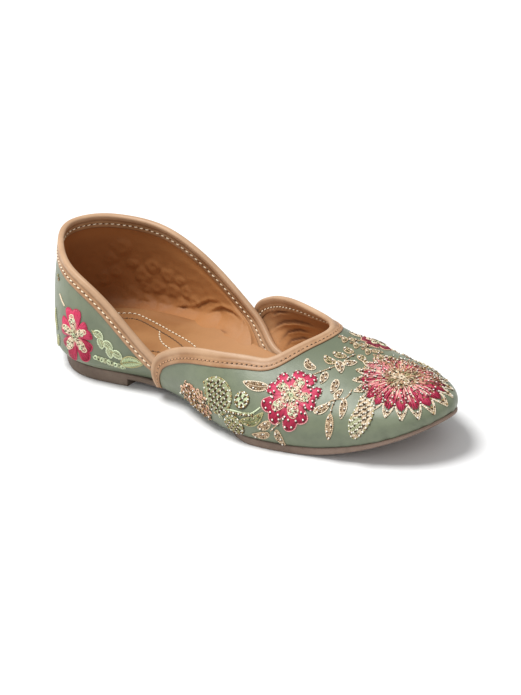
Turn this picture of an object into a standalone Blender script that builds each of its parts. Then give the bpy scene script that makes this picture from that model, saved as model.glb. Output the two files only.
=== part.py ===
"""A slip-on flat for the right foot: a low moulded outsole, an insole, and an upper in two parts.

The quarter wraps the heel. The vamp covers the toes, and its two wings lie outside the quarter.
A folded leather binding straddles the top edge of each. +X points to the toe, +Y to the wearer's
left (the inner side of a right foot) and +Z up. Tables and lengths are in millimetres.
"""

import bmesh
import bpy
import numpy as np

MM = 0.001

# Driving dimensions.
GAP = 0.3  # between pieces that touch in the real shoe
WALL = 1.4  # cloth and lining together
LEATHER = 0.65  # binding leather
HEEL_THICKNESS = 7.3  # sole under the heel, lift included
SOLE_THICKNESS = 4.1  # sole under the ball of the foot
LIFT = 3.9  # depth of the step in front of the heel
BREAST = 67.0  # where the heel ends, along the sole
TREAD_START = 150.0  # the forepart's flat spot
TREAD_END = 182.0
TOE_SPRING = 18.2  # the toe's height above the floor
SPRING_POWER = 1.8
TOE_THINNER = 1.9  # how much of the sole's thickness is left off at the toe's tip
TOE_THINS = (188, 246)
SOLE_BEVEL = 0.5
WELT = 1.2  # how far the sole shows beyond the vamp at the ball
OUTER_DIP = [
    # share of the way from the wing's foot to the throat, how much lower the outer side's edge is
    (0, 0),
    (0.6, -0.01),
    (0.7, 0.005),
    (0.76, 0.055),
    (0.82, 0.098),
    (0.87, 0.062),
    (0.92, 0.012),
    (0.96, 0),
    (1, 0),
]
WAIST_INSET = 9.0, 5.0  # how far the sole stands back at the waist, outer and inner side
WAIST_NARROWS = (84, 112)
WAIST_WIDENS = (128, 162)
INSOLE_THICKNESS = 2.2
INSOLE_CLEARANCE = 2.4
BINDING_DEPTH = 6.8  # of the binding's two bands
ROLL = 1.3  # how far the binding rises above the edge it covers
WING_FOOT = 88.5  # where the vamp's wings start, along the sole
QUARTER_END = 115.0  # where the quarter's top edge runs out inside the vamp
VAMP_OUT = 2.9  # from the quarter's middle surface to the vamp's
WING_OUT = 1.05  # more at the rear of the wings, where they pass over the quarter's binding
WING_REAR = (98, 120)  # where that extra fades out, along the sole
HEEL_SETBACK = 1.6  # from the sole's edge to the quarter's middle surface
SETBACK_GROWS = (60, 120)  # where the setback grows to leave room for the vamp
BULGE_CHANGES = (50, 110)  # where the quarter's bulge turns into the vamp's
SOLE_THINS = (60, TREAD_START)
BREAST_EDGE = 0.2  # half of the breast's slant
INSOLE_WIDENS = (122, 140)  # past the quarter's ends
INSOLE_MARGIN = 0.8

# The last, from the heel to the toe: place along the sole, half widths of the sole on the
# outer (lateral) and inner (medial) side, then the crown that the walls lean in towards, and
# how square the walls are: 2 is an ellipse and more is squarer.
SECTIONS = [
    # name, along, lateral, medial, crown_along, crown_up, square
    ("back", 0, 0, 0, 47.5, 123, 2.7),
    ("back_1", 3, 10.5, 12.5, 48.5, 121, 2.6),
    ("back_2", 12, 23, 23, 51.4, 116, 2.4),
    ("seat", 32, 37.8, 31, 58.2, 107, 2.3),
    ("breast", 62, 36.4, 33.8, 72, 93, 2.6),
    ("waist", 95, 33, 34.2, 95, 76, 2.7),
    ("shank", 125, 42.5, 32.6, 125, 60, 2.2),
    ("ball", 160, 49.5, 34.5, 160, 43.3, 1.9),
    ("tread", 190, 43.3, 34, 188, 37.3, 1.85),
    ("toe_3", 218, 34.9, 28.5, 211, 32.8, 2.05),
    ("toe_2", 238, 24.5, 18.5, 223, 30.6, 2.25),
    ("toe_1", 247, 13.2, 9, 228, 29.7, 2.4),
    ("tip", 250, 0, 0, 229, 29.6, 2.45),
]
CORE_ALONG, CORE_UP = (40, 210), 30  # a line through the middle of the last
CROWN_ACROSS = 2.0  # the ridge over the toes leans to the inner side
CROWN_LEANS = (60, 210)  # where that grows

# Top edges: the place along the sole of the wall section, and the height there.
QUARTER_TOP = [
    # along, outer side, inner side
    (0, 65.0, 65.0),
    (15, 62.3, 62.6),
    (35, 58.3, 59.5),
    (60, 45.4, 47.6),
    (85, 23.6, 28.2),
    (104, 11.9, 13.9),
    (110, 8.4, 9.8),
    (QUARTER_END, 7.2, 7.9),
]
VAMP_TOP = [
    # along, up: the last point is the throat, on the ridge
    (WING_FOOT, 7.0),
    (89.7, 15),
    (94, 25.0),
    (100, 29.2),
    (112, 34.3),
    (128, 36.9),
    (148, 36.9),
    (171, None),
]

# How far the walls bulge, and the heights over which the bulge grows and stays.
HEEL_BULGE, HEEL_RISE = 5.6, 6.0
VAMP_BULGE, VAMP_RISE = 6.8, 16.0
BULGE_STAY = 12.0
BULGE_END = 95.0
SLOPE_GROWS = 0.15  # over this share before the throat, the ridge starts to fall to the toe

# The binding's profile: depth below the edge, or a share of the roll above it, and the share of
# its thickness, positive outside.
BINDING_FOLD = [
    # depth, share
    (BINDING_DEPTH, 1),
    (BINDING_DEPTH / 2, 1),
    (0, 1),
    (-0.7, 0.7),
    (-1, 0),
    (-0.7, -0.7),
    (0, -1),
    (BINDING_DEPTH / 2, -1),
    (BINDING_DEPTH, -1),
]
WALL_BAND = (BINDING_DEPTH / 2, BINDING_DEPTH)  # the wall's first rows lie under the binding's

# How finely each surface is cut.
QUARTER_STATIONS = 60
VAMP_STATIONS = 34  # from each wing's foot to the throat
WALL_ROWS = 11
SOLE_STATIONS = 44
FAN = 12.0  # how far forward the first station runs at the wings' feet
SHARP_ANGLE = np.radians(40)

FINISHES = {
    # piece: colour, roughness
    "outsole": ((0.20, 0.16, 0.13), 0.75),
    "insole": ((0.50, 0.27, 0.12), 0.6),
    "quarter": ((0.20, 0.25, 0.19), 0.5),
    "vamp": ((0.20, 0.25, 0.19), 0.5),
    "quarter_binding": ((0.50, 0.28, 0.16), 0.55),
    "vamp_binding": ((0.50, 0.28, 0.16), 0.55),
}


class Spline:
    """A cubic curve through points. Its ends are straight, or level if flat is set."""

    def __init__(self, at, value, flat=False):
        at, value = np.array(at, float), np.array(value, float)
        count, width = len(at), np.diff(at)
        slope = np.diff(value) / width
        rule, target = np.zeros((count, count)), np.zeros(count)
        for i in range(1, count - 1):
            rule[i, i - 1 : i + 2] = width[i - 1], 2 * (width[i - 1] + width[i]), width[i]
            target[i] = 6 * (slope[i] - slope[i - 1])
        rule[0, 0] = rule[-1, -1] = 1
        if flat:
            rule[0, :2] = 2 * width[0], width[0]
            rule[-1, -2:] = width[-1], 2 * width[-1]
            target[0], target[-1] = 6 * slope[0], -6 * slope[-1]
        self.at, self.value, self.width = at, value, width
        self.bend = np.linalg.solve(rule, target)

    def __call__(self, where):
        i = np.clip(np.searchsorted(self.at, where) - 1, 0, len(self.width) - 1)
        width = self.width[i]
        a = (self.at[i + 1] - where) / width
        b = 1 - a
        line = a * self.value[i] + b * self.value[i + 1]
        curve = (a**3 - a) * self.bend[i] + (b**3 - b) * self.bend[i + 1]
        return line + curve * width**2 / 6


def smooth_step(x, start, end):
    t = np.clip((x - start) / (end - start), 0, 1)
    return t * t * (3 - 2 * t)


def columns(table):
    return [np.array(column) for column in zip(*table)]


# Around is the place around the shoe: 0 at the heel, 1 at the toe by the inner side, and 2 at
# the heel again by the outer side. Share is the same place without its side, from 0 to 1.
_, ALONG, LATERAL, MEDIAL, CROWN_ALONG, CROWN_UP, SQUARE = columns(SECTIONS)
chords = (np.hypot(np.diff(ALONG), np.diff(LATERAL)) + np.hypot(np.diff(ALONG), np.diff(MEDIAL))) / 2
SHARES = np.concatenate([[0], np.cumsum(chords)]) / chords.sum()
along_at = Spline(SHARES, ALONG, flat=True)
lateral_at = Spline(SHARES, LATERAL)
medial_at = Spline(SHARES, MEDIAL)
crown_along_at = Spline(SHARES, CROWN_ALONG, flat=True)
crown_up_at = Spline(SHARES, CROWN_UP, flat=True)
square_at = Spline(SHARES, SQUARE)
FINE = np.linspace(0, 1, 2001)
THROAT = VAMP_TOP[-1][0]
THROAT_SHARE = np.interp(THROAT, along_at(FINE), FINE)


def share_of(around):
    folded = np.mod(around, 2)
    return np.where(folded > 1, 2 - folded, folded)


def around_at(along, side):
    """The place around the shoe of a point along one side: 1 is the inner side, -1 the outer."""
    share = np.interp(along, along_at(FINE), FINE)
    return share if side > 0 else 2 - share


def spring(along):
    beyond = np.clip(along - TREAD_END, 0, None) / (ALONG[-1] - TREAD_END)
    return TOE_SPRING * beyond**SPRING_POWER


def sole_top(along):
    thinner = (SOLE_THICKNESS - HEEL_THICKNESS) * smooth_step(along, *SOLE_THINS)
    return HEEL_THICKNESS + thinner + spring(along)


def sole_bottom(along):
    arch = LIFT * (1 - smooth_step(along, BREAST, TREAD_START))
    thinner = TOE_THINNER * smooth_step(along, *TOE_THINS)
    return spring(along) + np.where(along < BREAST, 0, arch) + thinner


def outline(around):
    share = share_of(around)
    outer = np.mod(around, 2) > 1
    return along_at(share), np.where(outer, -lateral_at(share), medial_at(share))


def outward(around, step=1e-3):
    """The level direction that points out of the outline."""
    x0, y0 = outline(around - step)
    x1, y1 = outline(around + step)
    length = np.hypot(x1 - x0, y1 - y0)
    return (y0 - y1) / length, (x1 - x0) / length


def ridge_slope(share, step=0.02):
    """How steeply the crown falls towards the toe, from the throat forward."""
    before, after = np.clip(share - step, 0, 1), np.clip(share + step, 0, 1)
    run = crown_along_at(after) - crown_along_at(before)
    fall = crown_up_at(after) - crown_up_at(before)
    slope = np.clip(fall / np.maximum(run, 1e-6), -1, 0)
    return slope * smooth_step(share, THROAT_SHARE - SLOPE_GROWS, THROAT_SHARE)


def last(around, rise):
    """A point of the quarter's middle surface. Rise runs from 0 at the sole to 1 at the crown."""
    share, (x, y), (nx, ny) = share_of(around), outline(around), outward(around)
    foot = sole_top(x) + GAP
    fore = smooth_step(x, *BULGE_CHANGES)
    vamp_setback = WELT + VAMP_OUT + WALL / 2
    setback = HEEL_SETBACK + (vamp_setback - HEEL_SETBACK) * smooth_step(x, *SETBACK_GROWS)
    bulge = HEEL_BULGE + (VAMP_BULGE - HEEL_BULGE) * fore
    swell = HEEL_RISE + (VAMP_RISE - HEEL_RISE) * fore
    x, y = x - nx * setback, y - ny * setback
    crown, across = crown_along_at(share), CROWN_ACROSS * smooth_step(along_at(share), *CROWN_LEANS)
    square = square_at(share)
    sine = np.sin(np.clip(rise, 0, 1) * np.pi / 2)
    lean = 1 - np.clip(1 - sine**2, 0, 1) ** (1 / square)
    px, py = x + (crown - x) * lean, y + (across - y) * lean
    up = sine ** (2 / square) * (crown_up_at(share) - foot)
    up = up + ridge_slope(share) * (px - crown) * sine**2
    grow = np.sin(np.pi / 2 * np.clip(up / swell, 0, 1))
    fade = np.cos(np.pi / 2 * np.clip((up - swell - BULGE_STAY) / (BULGE_END - swell - BULGE_STAY), 0, 1))
    out = bulge * grow * fade * (1 - lean)
    return np.stack([px + nx * out, py + ny * out, foot + up], -1)


def normal(around, rise, step=1e-3):
    below = np.minimum(rise, 1 - step)  # the two sides' ridges are one line
    across = last(around + step, below) - last(around - step, below)
    up = last(around, np.clip(rise + step, 0, 1)) - last(around, np.clip(rise - step, 0, 1))
    n = np.cross(up, across)
    return n / np.linalg.norm(n, axis=-1, keepdims=True)


def above_sole(points):
    points[..., 2] = np.maximum(points[..., 2], sole_top(points[..., 0]) + GAP)
    return points


def surface(around, rise, out):
    """A point that lies out of the quarter's middle surface, and never below the sole's top."""
    around, rise = np.broadcast_arrays(np.asarray(around, float), np.asarray(rise, float))
    n = normal(around, rise)
    on_ridge = (rise > 1 - 1e-6)[..., None]
    n = np.where(on_ridge, n + normal(2 - around, rise), n)
    n /= np.linalg.norm(n, axis=-1, keepdims=True)
    return above_sole(last(around, rise) + n * np.asarray(out)[..., None])


def vamp_middle(around):
    along = along_at(share_of(around))
    return VAMP_OUT + WING_OUT * (1 - smooth_step(along, *WING_REAR))


def quarter_middle(around):
    return np.zeros_like(around)


def rise_at(around, up):
    """The rise where the wall reaches a height, found by halving."""
    low, high = np.zeros_like(around), np.ones_like(around)
    for _ in range(40):
        middle = (low + high) / 2
        below = last(around, middle)[..., 2] < up
        low, high = np.where(below, middle, low), np.where(below, high, middle)
    return (low + high) / 2


def evenly(around, rise, middle, count):
    """The same route over the surface, cut into equal lengths."""
    points = surface(around, rise, middle(around))
    length = np.concatenate([[0], np.cumsum(np.linalg.norm(np.diff(points, axis=0), axis=1))])
    where = np.linspace(0, length[-1], count + 1)
    return np.interp(where, length, around), np.interp(where, length, rise)


def vamp_edge():
    """The vamp's top edge from the inner wing's foot to the throat, as around and rise."""
    along, up = columns(VAMP_TOP)
    up = np.array([*up[:-1], crown_up_at(THROAT_SHARE)], float)
    chord = np.concatenate([[0], np.cumsum(np.hypot(np.diff(along), np.diff(up)))])
    fine = np.linspace(0, chord[-1], 400)
    around = around_at(Spline(chord, along)(fine), 1)
    rise = rise_at(around, Spline(chord, up)(fine))
    rise[-1] = 1
    return evenly(around, rise, vamp_middle, VAMP_STATIONS)


def mirrored(around, rise):
    """Half of the vamp's stations, then the outer half, whose edge hangs a little lower."""
    station = np.linspace(0, 1, len(rise)).reshape(-1, *[1] * (rise.ndim - 1))
    outer = rise * (1 - Spline(*columns(OUTER_DIP))(station))
    return np.concatenate([around, 2 - around[-2::-1]]), np.concatenate([rise, outer[-2::-1]])


def quarter_edge():
    """The quarter's top edge, from the outer side round the heel to the inner side."""
    along, outer, inner = columns(QUARTER_TOP)
    end = around_at(QUARTER_END, 1)
    around = np.linspace(-end, end, 801)
    where = along_at(share_of(around))
    up = np.where(around < 0, Spline(along, outer)(where), Spline(along, inner)(where))
    rise = rise_at(around, up)
    return evenly(around, rise, quarter_middle, QUARTER_STATIONS)


def walk(around, rise, heading, distance, paces=6):
    """Where a walk over the middle surface ends, on a straight heading."""
    step = 1e-4
    for _ in range(paces):
        low, high = np.clip(rise - step, 0, 1), np.clip(rise + step, 0, 1)
        east = (last(around + step, rise) - last(around - step, rise)) / (2 * step)
        north = (last(around, high) - last(around, low)) / (high - low)[..., None]
        ee, en, nn = (east * east).sum(-1), (east * north).sum(-1), (north * north).sum(-1)
        he, hn = (east * heading).sum(-1), (north * heading).sum(-1)
        spread = ee * nn - en * en
        go_east, go_north = (nn * he - en * hn) / spread, (ee * hn - en * he) / spread
        gone = np.linalg.norm(east * go_east[..., None] + north * go_north[..., None], axis=-1)
        around = around + go_east * distance / paces / gone
        rise = np.clip(rise + go_north * distance / paces / gone, 0, 1)
    return around, rise


def two_triangles(mesh, a, b, c, d):
    """A four-sided face, folded along the diagonal that lies further out from the last's core.

    Pieces that lie on each other then fold the same way, and keep their gap.
    """

    def reach(p, q):
        middle = (np.array(p.co) + np.array(q.co)) / 2 / MM
        core = (np.clip(middle[0], *CORE_ALONG), 0, CORE_UP)
        return np.linalg.norm(middle - core)

    if reach(a, c) >= reach(b, d):
        corners = ((a, b, c), (a, c, d))
    else:
        corners = ((a, b, d), (b, c, d))
    for triangle in corners:
        mesh.faces.new(triangle)


def thick_sheet(name, outer, inner, capped=True):
    """A closed solid between two grids of points, stations by rows. Points that meet are joined.

    The stations at the two ends are capped, unless their rows meet there.
    """
    stations, rows = outer.shape[:2]
    mesh = bmesh.new()
    out = [[mesh.verts.new(point * MM) for point in row] for row in outer]
    back = [[mesh.verts.new(point * MM) for point in row] for row in inner]
    for i in range(stations - 1):
        for j in range(rows - 1):
            for grid in (out, back):
                two_triangles(mesh, grid[i][j], grid[i + 1][j], grid[i + 1][j + 1], grid[i][j + 1])
        for j in (0, -1):
            two_triangles(mesh, out[i][j], out[i + 1][j], back[i + 1][j], back[i][j])
    for i in (0, stations - 1) if capped else ():
        for j in range(rows - 1):
            two_triangles(mesh, out[i][j], out[i][j + 1], back[i][j + 1], back[i][j])
    bmesh.ops.remove_doubles(mesh, verts=mesh.verts, dist=1e-7)
    bmesh.ops.recalc_face_normals(mesh, faces=mesh.faces)
    data = bpy.data.meshes.new(name)
    mesh.to_mesh(data)
    mesh.free()
    data.shade_smooth()
    data.set_sharp_from_angle(angle=SHARP_ANGLE)
    data.materials.append(finish(name))
    bpy.context.scene.collection.objects.link(bpy.data.objects.new(name, data))


def finish(name):
    colour, roughness = FINISHES[name]
    material = bpy.data.materials.new(name)
    material.use_nodes = True
    shader = material.node_tree.nodes["Principled BSDF"]
    shader.inputs["Base Color"].default_value = (*colour, 1)
    shader.inputs["Roughness"].default_value = roughness
    return material


def build_wall(name, around, rise, middle):
    outer = surface(around, rise, middle(around) + WALL / 2)
    inner = surface(around, rise, middle(around) - WALL / 2)
    thick_sheet(name, outer, inner)


def edge_frame(around, rise, middle):
    """Points along a top edge, with the directions out of the wall and up past its edge.

    Stretch is how much longer a mitre is, where the edge bends.
    """
    edge, out = surface(around, rise, middle(around)), normal(around, rise)
    out[rise == 1] = (out + normal(2 - around, rise))[rise == 1]
    out /= np.linalg.norm(out, axis=1, keepdims=True)
    legs = np.diff(edge, axis=0)
    legs /= np.linalg.norm(legs, axis=1, keepdims=True)
    legs = np.concatenate([legs[:1], legs, legs[-1:]])
    up = np.cross(out, legs[1:] + legs[:-1])
    below = surface(around, rise * 0.8, middle(around))
    up *= np.sign((up * (edge - below)).sum(1))[:, None]
    up /= np.linalg.norm(up, axis=1, keepdims=True)
    leg_up = np.cross(out, legs[1:])
    leg_up /= np.linalg.norm(leg_up, axis=1, keepdims=True)
    return edge, out, up, 1 / np.abs((leg_up * up).sum(1))


def wall_rows(around, rise, middle, foot, forward):
    """Rows of places from the sole up to a top edge, the last ones square to the edge.

    Each station ends at its foot on the sole. Forward says how far it goes ahead before it goes
    down: not at all at 0, and all the way, over the ridge and the toes, at 1.
    """
    _, _, up, stretch = edge_frame(around, rise, middle)
    rows = [(around, rise)]
    for depth in WALL_BAND:
        rows.append(walk(around, rise, -up, depth * stretch))
    below_around, below_rise = rows[-1]
    fine = np.linspace(0, 1, 201)[:, None]
    ahead = fine + (np.clip(2 * fine, 0, 1) - fine) * forward
    down = fine + (np.clip(2 * fine - 1, 0, 1) - fine) * forward
    route_around = below_around + (foot - below_around) * ahead
    route_rise = below_rise * (1 - down)
    rest = [evenly(a, r, middle, WALL_ROWS - 2) for a, r in zip(route_around.T, route_rise.T)]
    for i in range(1, WALL_ROWS - 1):
        rows.append(tuple(np.array([station[part][i] for station in rest]) for part in (0, 1)))
    return tuple(np.stack(places[::-1], 1) for places in zip(*rows))


def build_quarter():
    around, top = quarter_edge()
    build_wall("quarter", *wall_rows(around, top, quarter_middle, around, 0), quarter_middle)


def build_vamp():
    """Its stations fan out: from the wings' feet, where the edge stands upright, to the toe."""
    edge, top = vamp_edge()
    foot = np.linspace(around_at(WING_FOOT + FAN, 1), 1, len(edge))
    forward = np.linspace(0, 1, len(edge)) ** 3
    around, rise = wall_rows(edge, top, vamp_middle, foot, forward)
    around, rise = mirrored(around, rise)
    build_wall("vamp", around, rise, vamp_middle)


def build_binding(name, around, rise, middle):
    """A strip folded over a top edge: a channel with a band on each side of the wall."""
    edge, out, up, stretch = edge_frame(around, rise, middle)

    def chain(thickness, fold):
        """Points from the outside band's lower edge, over the fold, to the inside band's."""
        points = []
        for depth, share in BINDING_FOLD:
            if depth > 0:
                there = walk(around, rise, -up, depth * stretch)
                points.append(surface(*there, middle(around) + share * thickness))
            else:
                raised = edge - up * (depth * fold * stretch)[:, None] + out * share * thickness
                points.append(above_sole(raised))
        return np.stack(points, 1)

    lining = WALL / 2 + GAP
    thick_sheet(name, chain(lining + LEATHER, ROLL), chain(lining, GAP))


def build_bindings():
    build_binding("quarter_binding", *quarter_edge(), quarter_middle)
    around, rise = mirrored(*vamp_edge())
    build_binding("vamp_binding", around, rise, vamp_middle)


def waist_inset(along, side):
    """How far the sole's edge stands back under the upper at the waist. Side 0 is the outer one."""
    share = smooth_step(along, *WAIST_NARROWS) * (1 - smooth_step(along, *WAIST_WIDENS))
    return WAIST_INSET[side] * share


def sides(shares, setback, height):
    """A line of points along each side of the sole, outer and inner, at a height over the floor."""
    lines = []
    for side, around in enumerate((2 - shares, shares)):
        (x, y), (nx, ny) = outline(around), outward(around)
        back = setback + waist_inset(x, side)
        x, y = x - nx * back, y - ny * back
        lines.append(np.stack([x, y, height(x)], -1))
    return lines


def build_outsole():
    shares = (1 - np.cos(np.linspace(0, np.pi, SOLE_STATIONS))) / 2
    breast = np.interp([BREAST - BREAST_EDGE, BREAST + BREAST_EDGE], along_at(FINE), FINE)
    shares = np.sort(np.concatenate([shares, breast]))
    top_outer, top_inner = sides(shares, SOLE_BEVEL, sole_top)
    edge_outer, edge_inner = sides(shares, 0, lambda x: sole_top(x) - SOLE_BEVEL)
    foot_outer, foot_inner = sides(shares, 0, lambda x: sole_bottom(x) + SOLE_BEVEL)
    tread_outer, tread_inner = sides(shares, SOLE_BEVEL, sole_bottom)
    top = np.stack([edge_outer, top_outer, top_inner, edge_inner], 1)
    bottom = np.stack([foot_outer, tread_outer, tread_inner, foot_inner], 1)
    thick_sheet("outsole", top, bottom, capped=False)


def build_insole():
    """It lies on the outsole, just inside the wall of the quarter or, further on, of the vamp."""
    shares = (1 - np.cos(np.linspace(0, np.pi, SOLE_STATIONS))) / 2
    lines = []
    for around in (2 - shares, shares):
        foot, (nx, ny) = last(around, np.zeros_like(around)), outward(around)
        past_quarter = smooth_step(foot[:, 0], *INSOLE_WIDENS)
        setback = INSOLE_CLEARANCE - (VAMP_OUT - INSOLE_MARGIN) * past_quarter
        x, y = foot[:, 0] - nx * setback, foot[:, 1] - ny * setback
        lines.append(np.stack([x, y, sole_top(x) + GAP], -1))
    bottom = np.stack(lines, 1)
    thick_sheet("insole", bottom + (0, 0, INSOLE_THICKNESS), bottom, capped=False)


def centre_on_origin():
    """The origin is under the middle of the whole shoe, on the floor."""
    pieces = [piece for piece in bpy.data.objects if piece.type == "MESH"]
    points = np.array([vertex.co for piece in pieces for vertex in piece.data.vertices])
    low, high = points.min(0), points.max(0)
    shift = ((low[0] + high[0]) / 2, (low[1] + high[1]) / 2, low[2])
    for piece in pieces:
        for vertex in piece.data.vertices:
            vertex.co = [value - move for value, move in zip(vertex.co, shift)]


def main():
    for thing in list(bpy.data.objects):
        bpy.data.objects.remove(thing)
    build_outsole()
    build_insole()
    build_quarter()
    build_vamp()
    build_bindings()
    centre_on_origin()


main()
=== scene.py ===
"""The look of an embroidered slip-on flat for the right foot.

The shape is worked out as the CAD's is, only more finely. Tables and lengths are in millimetres:
along from the back of the heel to the toe, across to the inner side of the foot, and up from the
floor. Each mesh is moved to the frame's origin when it is made.
"""

import bmesh
import bpy
import numpy as np
from mathutils import Matrix, Vector, noise
from mathutils.bvhtree import BVHTree


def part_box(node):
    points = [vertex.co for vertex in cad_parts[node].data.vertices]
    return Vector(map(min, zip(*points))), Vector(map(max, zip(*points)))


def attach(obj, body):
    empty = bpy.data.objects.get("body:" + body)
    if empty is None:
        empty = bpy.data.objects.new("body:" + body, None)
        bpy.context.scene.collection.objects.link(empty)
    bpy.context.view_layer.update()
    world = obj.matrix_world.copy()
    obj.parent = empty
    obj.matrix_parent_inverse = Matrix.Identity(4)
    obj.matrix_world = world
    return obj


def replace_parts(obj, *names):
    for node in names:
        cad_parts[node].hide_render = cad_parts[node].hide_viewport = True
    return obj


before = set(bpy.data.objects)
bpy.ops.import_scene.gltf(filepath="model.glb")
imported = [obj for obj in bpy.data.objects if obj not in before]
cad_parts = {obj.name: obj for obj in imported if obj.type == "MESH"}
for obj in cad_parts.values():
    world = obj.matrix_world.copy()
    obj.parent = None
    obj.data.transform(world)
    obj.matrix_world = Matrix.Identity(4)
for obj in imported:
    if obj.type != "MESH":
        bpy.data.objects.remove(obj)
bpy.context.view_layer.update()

MM = 0.001

# ---------------------------------------------------------------- the last and its top edges

WALL = 1.4  # the leather and its lining together
LEATHER = 0.65  # a binding's strip
BINDING_DEPTH = 6.8
ROLL = 1.3  # how far a binding rises over the edge

# The sole.
HEEL_THICKNESS, SOLE_THICKNESS = 7.3, 4.1
BREAST = 67.0  # the heel's front face
LIFT = 3.9  # how high the arch stands in front of it
TREAD_START, TREAD_END = 150.0, 182.0
SOLE_THINS = (60, TREAD_START)
TOE_SPRING, SPRING_POWER = 18.2, 1.8
TOE_THINNER, TOE_THINS = 1.9, (188, 246)

# The insole.
INSOLE_THICKNESS = 2.2
INSOLE_SETBACK = 1.5  # from the quarter's middle
INSOLE_MARGIN = 0.8  # how far inside the vamp it stays
INSOLE_WIDENS = (119, 128)  # past the quarter's ends, out towards the vamp

# Where the walls stand.
WELT = 1.2
VAMP_OUT = 2.9  # from the quarter's middle out to the vamp's
WING_OUT, WING_REAR = 1.05, (98, 120)  # how much further out the wings' rear ends stand
WING_FOOT = 88.5  # where a wing's rear edge comes down to the sole
QUARTER_END = 120.0
HEEL_SETBACK, SETBACK_GROWS = 1.6, (60, 120)
HEEL_BULGE, HEEL_RISE = 5.6, 6.0  # how far a wall swells out, and the height where it has
VAMP_BULGE, VAMP_RISE = 6.8, 16.0
BULGE_CHANGES = (50, 110)
BULGE_STAY, BULGE_END = 12.0, 95.0  # how much higher the swelling stays, and where it ends
CROWN_ACROSS, CROWN_LEANS = 2.0, (60, 210)  # how far the ridge lies to the inner side
SLOPE_GROWS = 0.15  # the share of the way round in which the ridge starts to fall
FAN = 12.0  # how far forward the lines up a wing lean at its foot

SECTIONS = [
    # from the heel to the toe: along, lateral, medial, crown_along, crown_up, square
    (0, 0, 0, 47.5, 123, 2.7),
    (3, 10.5, 12.5, 48.5, 121, 2.6),
    (12, 23, 23, 51.4, 116, 2.4),
    (32, 37.8, 31, 58.2, 107, 2.3),
    (62, 36.4, 33.8, 72, 93, 2.6),
    (95, 33, 34.2, 95, 76, 2.7),
    (125, 42.5, 32.6, 125, 60, 2.2),
    (160, 49.5, 34.5, 160, 43.3, 1.9),
    (190, 43.3, 34, 188, 37.3, 1.85),
    (218, 34.9, 28.5, 211, 32.8, 2.05),
    (238, 24.5, 18.5, 223, 30.6, 2.25),
    (247, 13.2, 9, 228, 29.7, 2.4),
    (250, 0, 0, 229, 29.6, 2.45),
]
QUARTER_TOP = [
    # along, outer side, inner side
    (0, 65.0, 65.0),
    (15, 62.3, 62.6),
    (35, 58.3, 59.5),
    (60, 45.4, 47.6),
    (85, 23.6, 28.2),
    (104, 11.9, 13.9),
    (110, 8.4, 9.8),
    (115, 7.2, 7.7),
    (QUARTER_END, 6.8, 6.6),
]
VAMP_TOP = [
    # along, up: the last point is the throat, on the ridge
    (WING_FOOT, 7.0),
    (89.7, 15),
    (94, 25.0),
    (100, 29.2),
    (112, 34.3),
    (128, 36.9),
    (148, 36.9),
    (171, None),
]

OUTER_DIP = [
    # share of the way from the wing's foot to the throat, how much lower the outer side's edge is
    (0, 0), (0.6, -0.01), (0.7, 0.005), (0.76, 0.055), (0.82, 0.098), (0.87, 0.062), (0.92, 0.012),
    (0.96, 0), (1, 0),
]
WAIST_INSET = 9.0, 5.0  # how far the sole stands back at the waist, on the outer and inner side
WAIST_SPAN = (84, 112, 128, 162)
TUCK_DROP = 0.9  # how far the vamp hangs below the sole's top at the waist
TUCK_REACH = 6.0  # how far up the vamp that drop is felt
TUCK_SPAN = (84, 100, 140, 160)
MARGIN_SPAN, MARGIN_THICKNESS = (90, 160), 0.7  # the vamp's edge, turned in under the foot
MARGIN_START, MARGIN_PAST = 0.35, 1.6  # how far inside the vamp's skin, and past the sole's edge
PUCKER_DEPTH, PUCKER_REACH, PUCKERS_GROW = 0.30, 7.0, (196, 222)  # the gathers under the toe

# The lining's soft shapes, on the inner side of the foot.
COVE, COVE_HEIGHT = 6.8, 2.4  # how far the lining rounds over on to the insole
CUSHION_HEIGHT, CUSHION_DIMPLE, PILLOW_HEIGHT = 1.05, 0.55, 1.5
CUSHIONS = [
    # along, across, up, width
    (12.3, 24.9, 44.2, 5.4), (6.4, 21.3, 37.2, 4.0), (20.7, 30.8, 27.3, 4.9),
    (27.6, 32.5, 33.8, 4.0), (36.3, 34.5, 29.3, 4.6), (15.9, 28.4, 34.5, 3.6),
    (3.6, 19.2, 25.9, 4.4), (14.8, 28.6, 14.7, 5.6), (21.4, 31.4, 20.3, 3.7),
    (29.2, 33.6, 21.4, 4.0), (7.7, 23.2, 29.9, 3.8), (43.8, 35.5, 28.0, 3.4),
    (38.6, 35.2, 21.2, 4.2), (32.6, 34.4, 13.0, 3.9), (47.4, 36.1, 22.1, 3.8),
    (53.0, 36.5, 17.4, 3.9), (43.6, 35.4, 14.8, 3.6), (23.5, 30.8, 11.9, 4.2),
]
PILLOWS = [(84.0, 34.0, 11.0, 13.0), (65.0, 35.0, 10.0, 8.0), (95.0, 32.0, 9.0, 8.0)]
CREASES = [
    # route, width, depth
    ([(14.0, 28.0, 9.5), (21.3, 30.7, 13.0), (29.1, 31.0, 10.5), (36.0, 32.0, 9.5)], 0.9, 1.1),
    ([
        (54.0, 34.5, 9.8), (60.1, 34.2, 11.0), (66.0, 36.6, 15.2), (72.0, 37.4, 18.2),
        (79.0, 37.2, 18.0), (86.0, 36.4, 15.2),
    ], 1.0, 1.5),
    ([(50.0, 36.8, 13.0), (56.0, 36.8, 16.0), (62.8, 37.2, 20.2), (70.0, 37.4, 20.8)], 0.9, 0.9),
    ([(40.0, 35.9, 11.5), (46.0, 36.2, 13.0), (52.0, 36.6, 13.5)], 0.9, 0.9),
    ([(72.0, 34.0, 10.5), (79.0, 33.0, 9.4), (88.0, 32.0, 9.2)], 0.9, 0.9),
    ([(84.0, 36.0, 24.0), (88.0, 36.0, 17.0), (90.0, 35.0, 11.0)], 1.0, 0.7),
]
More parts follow.
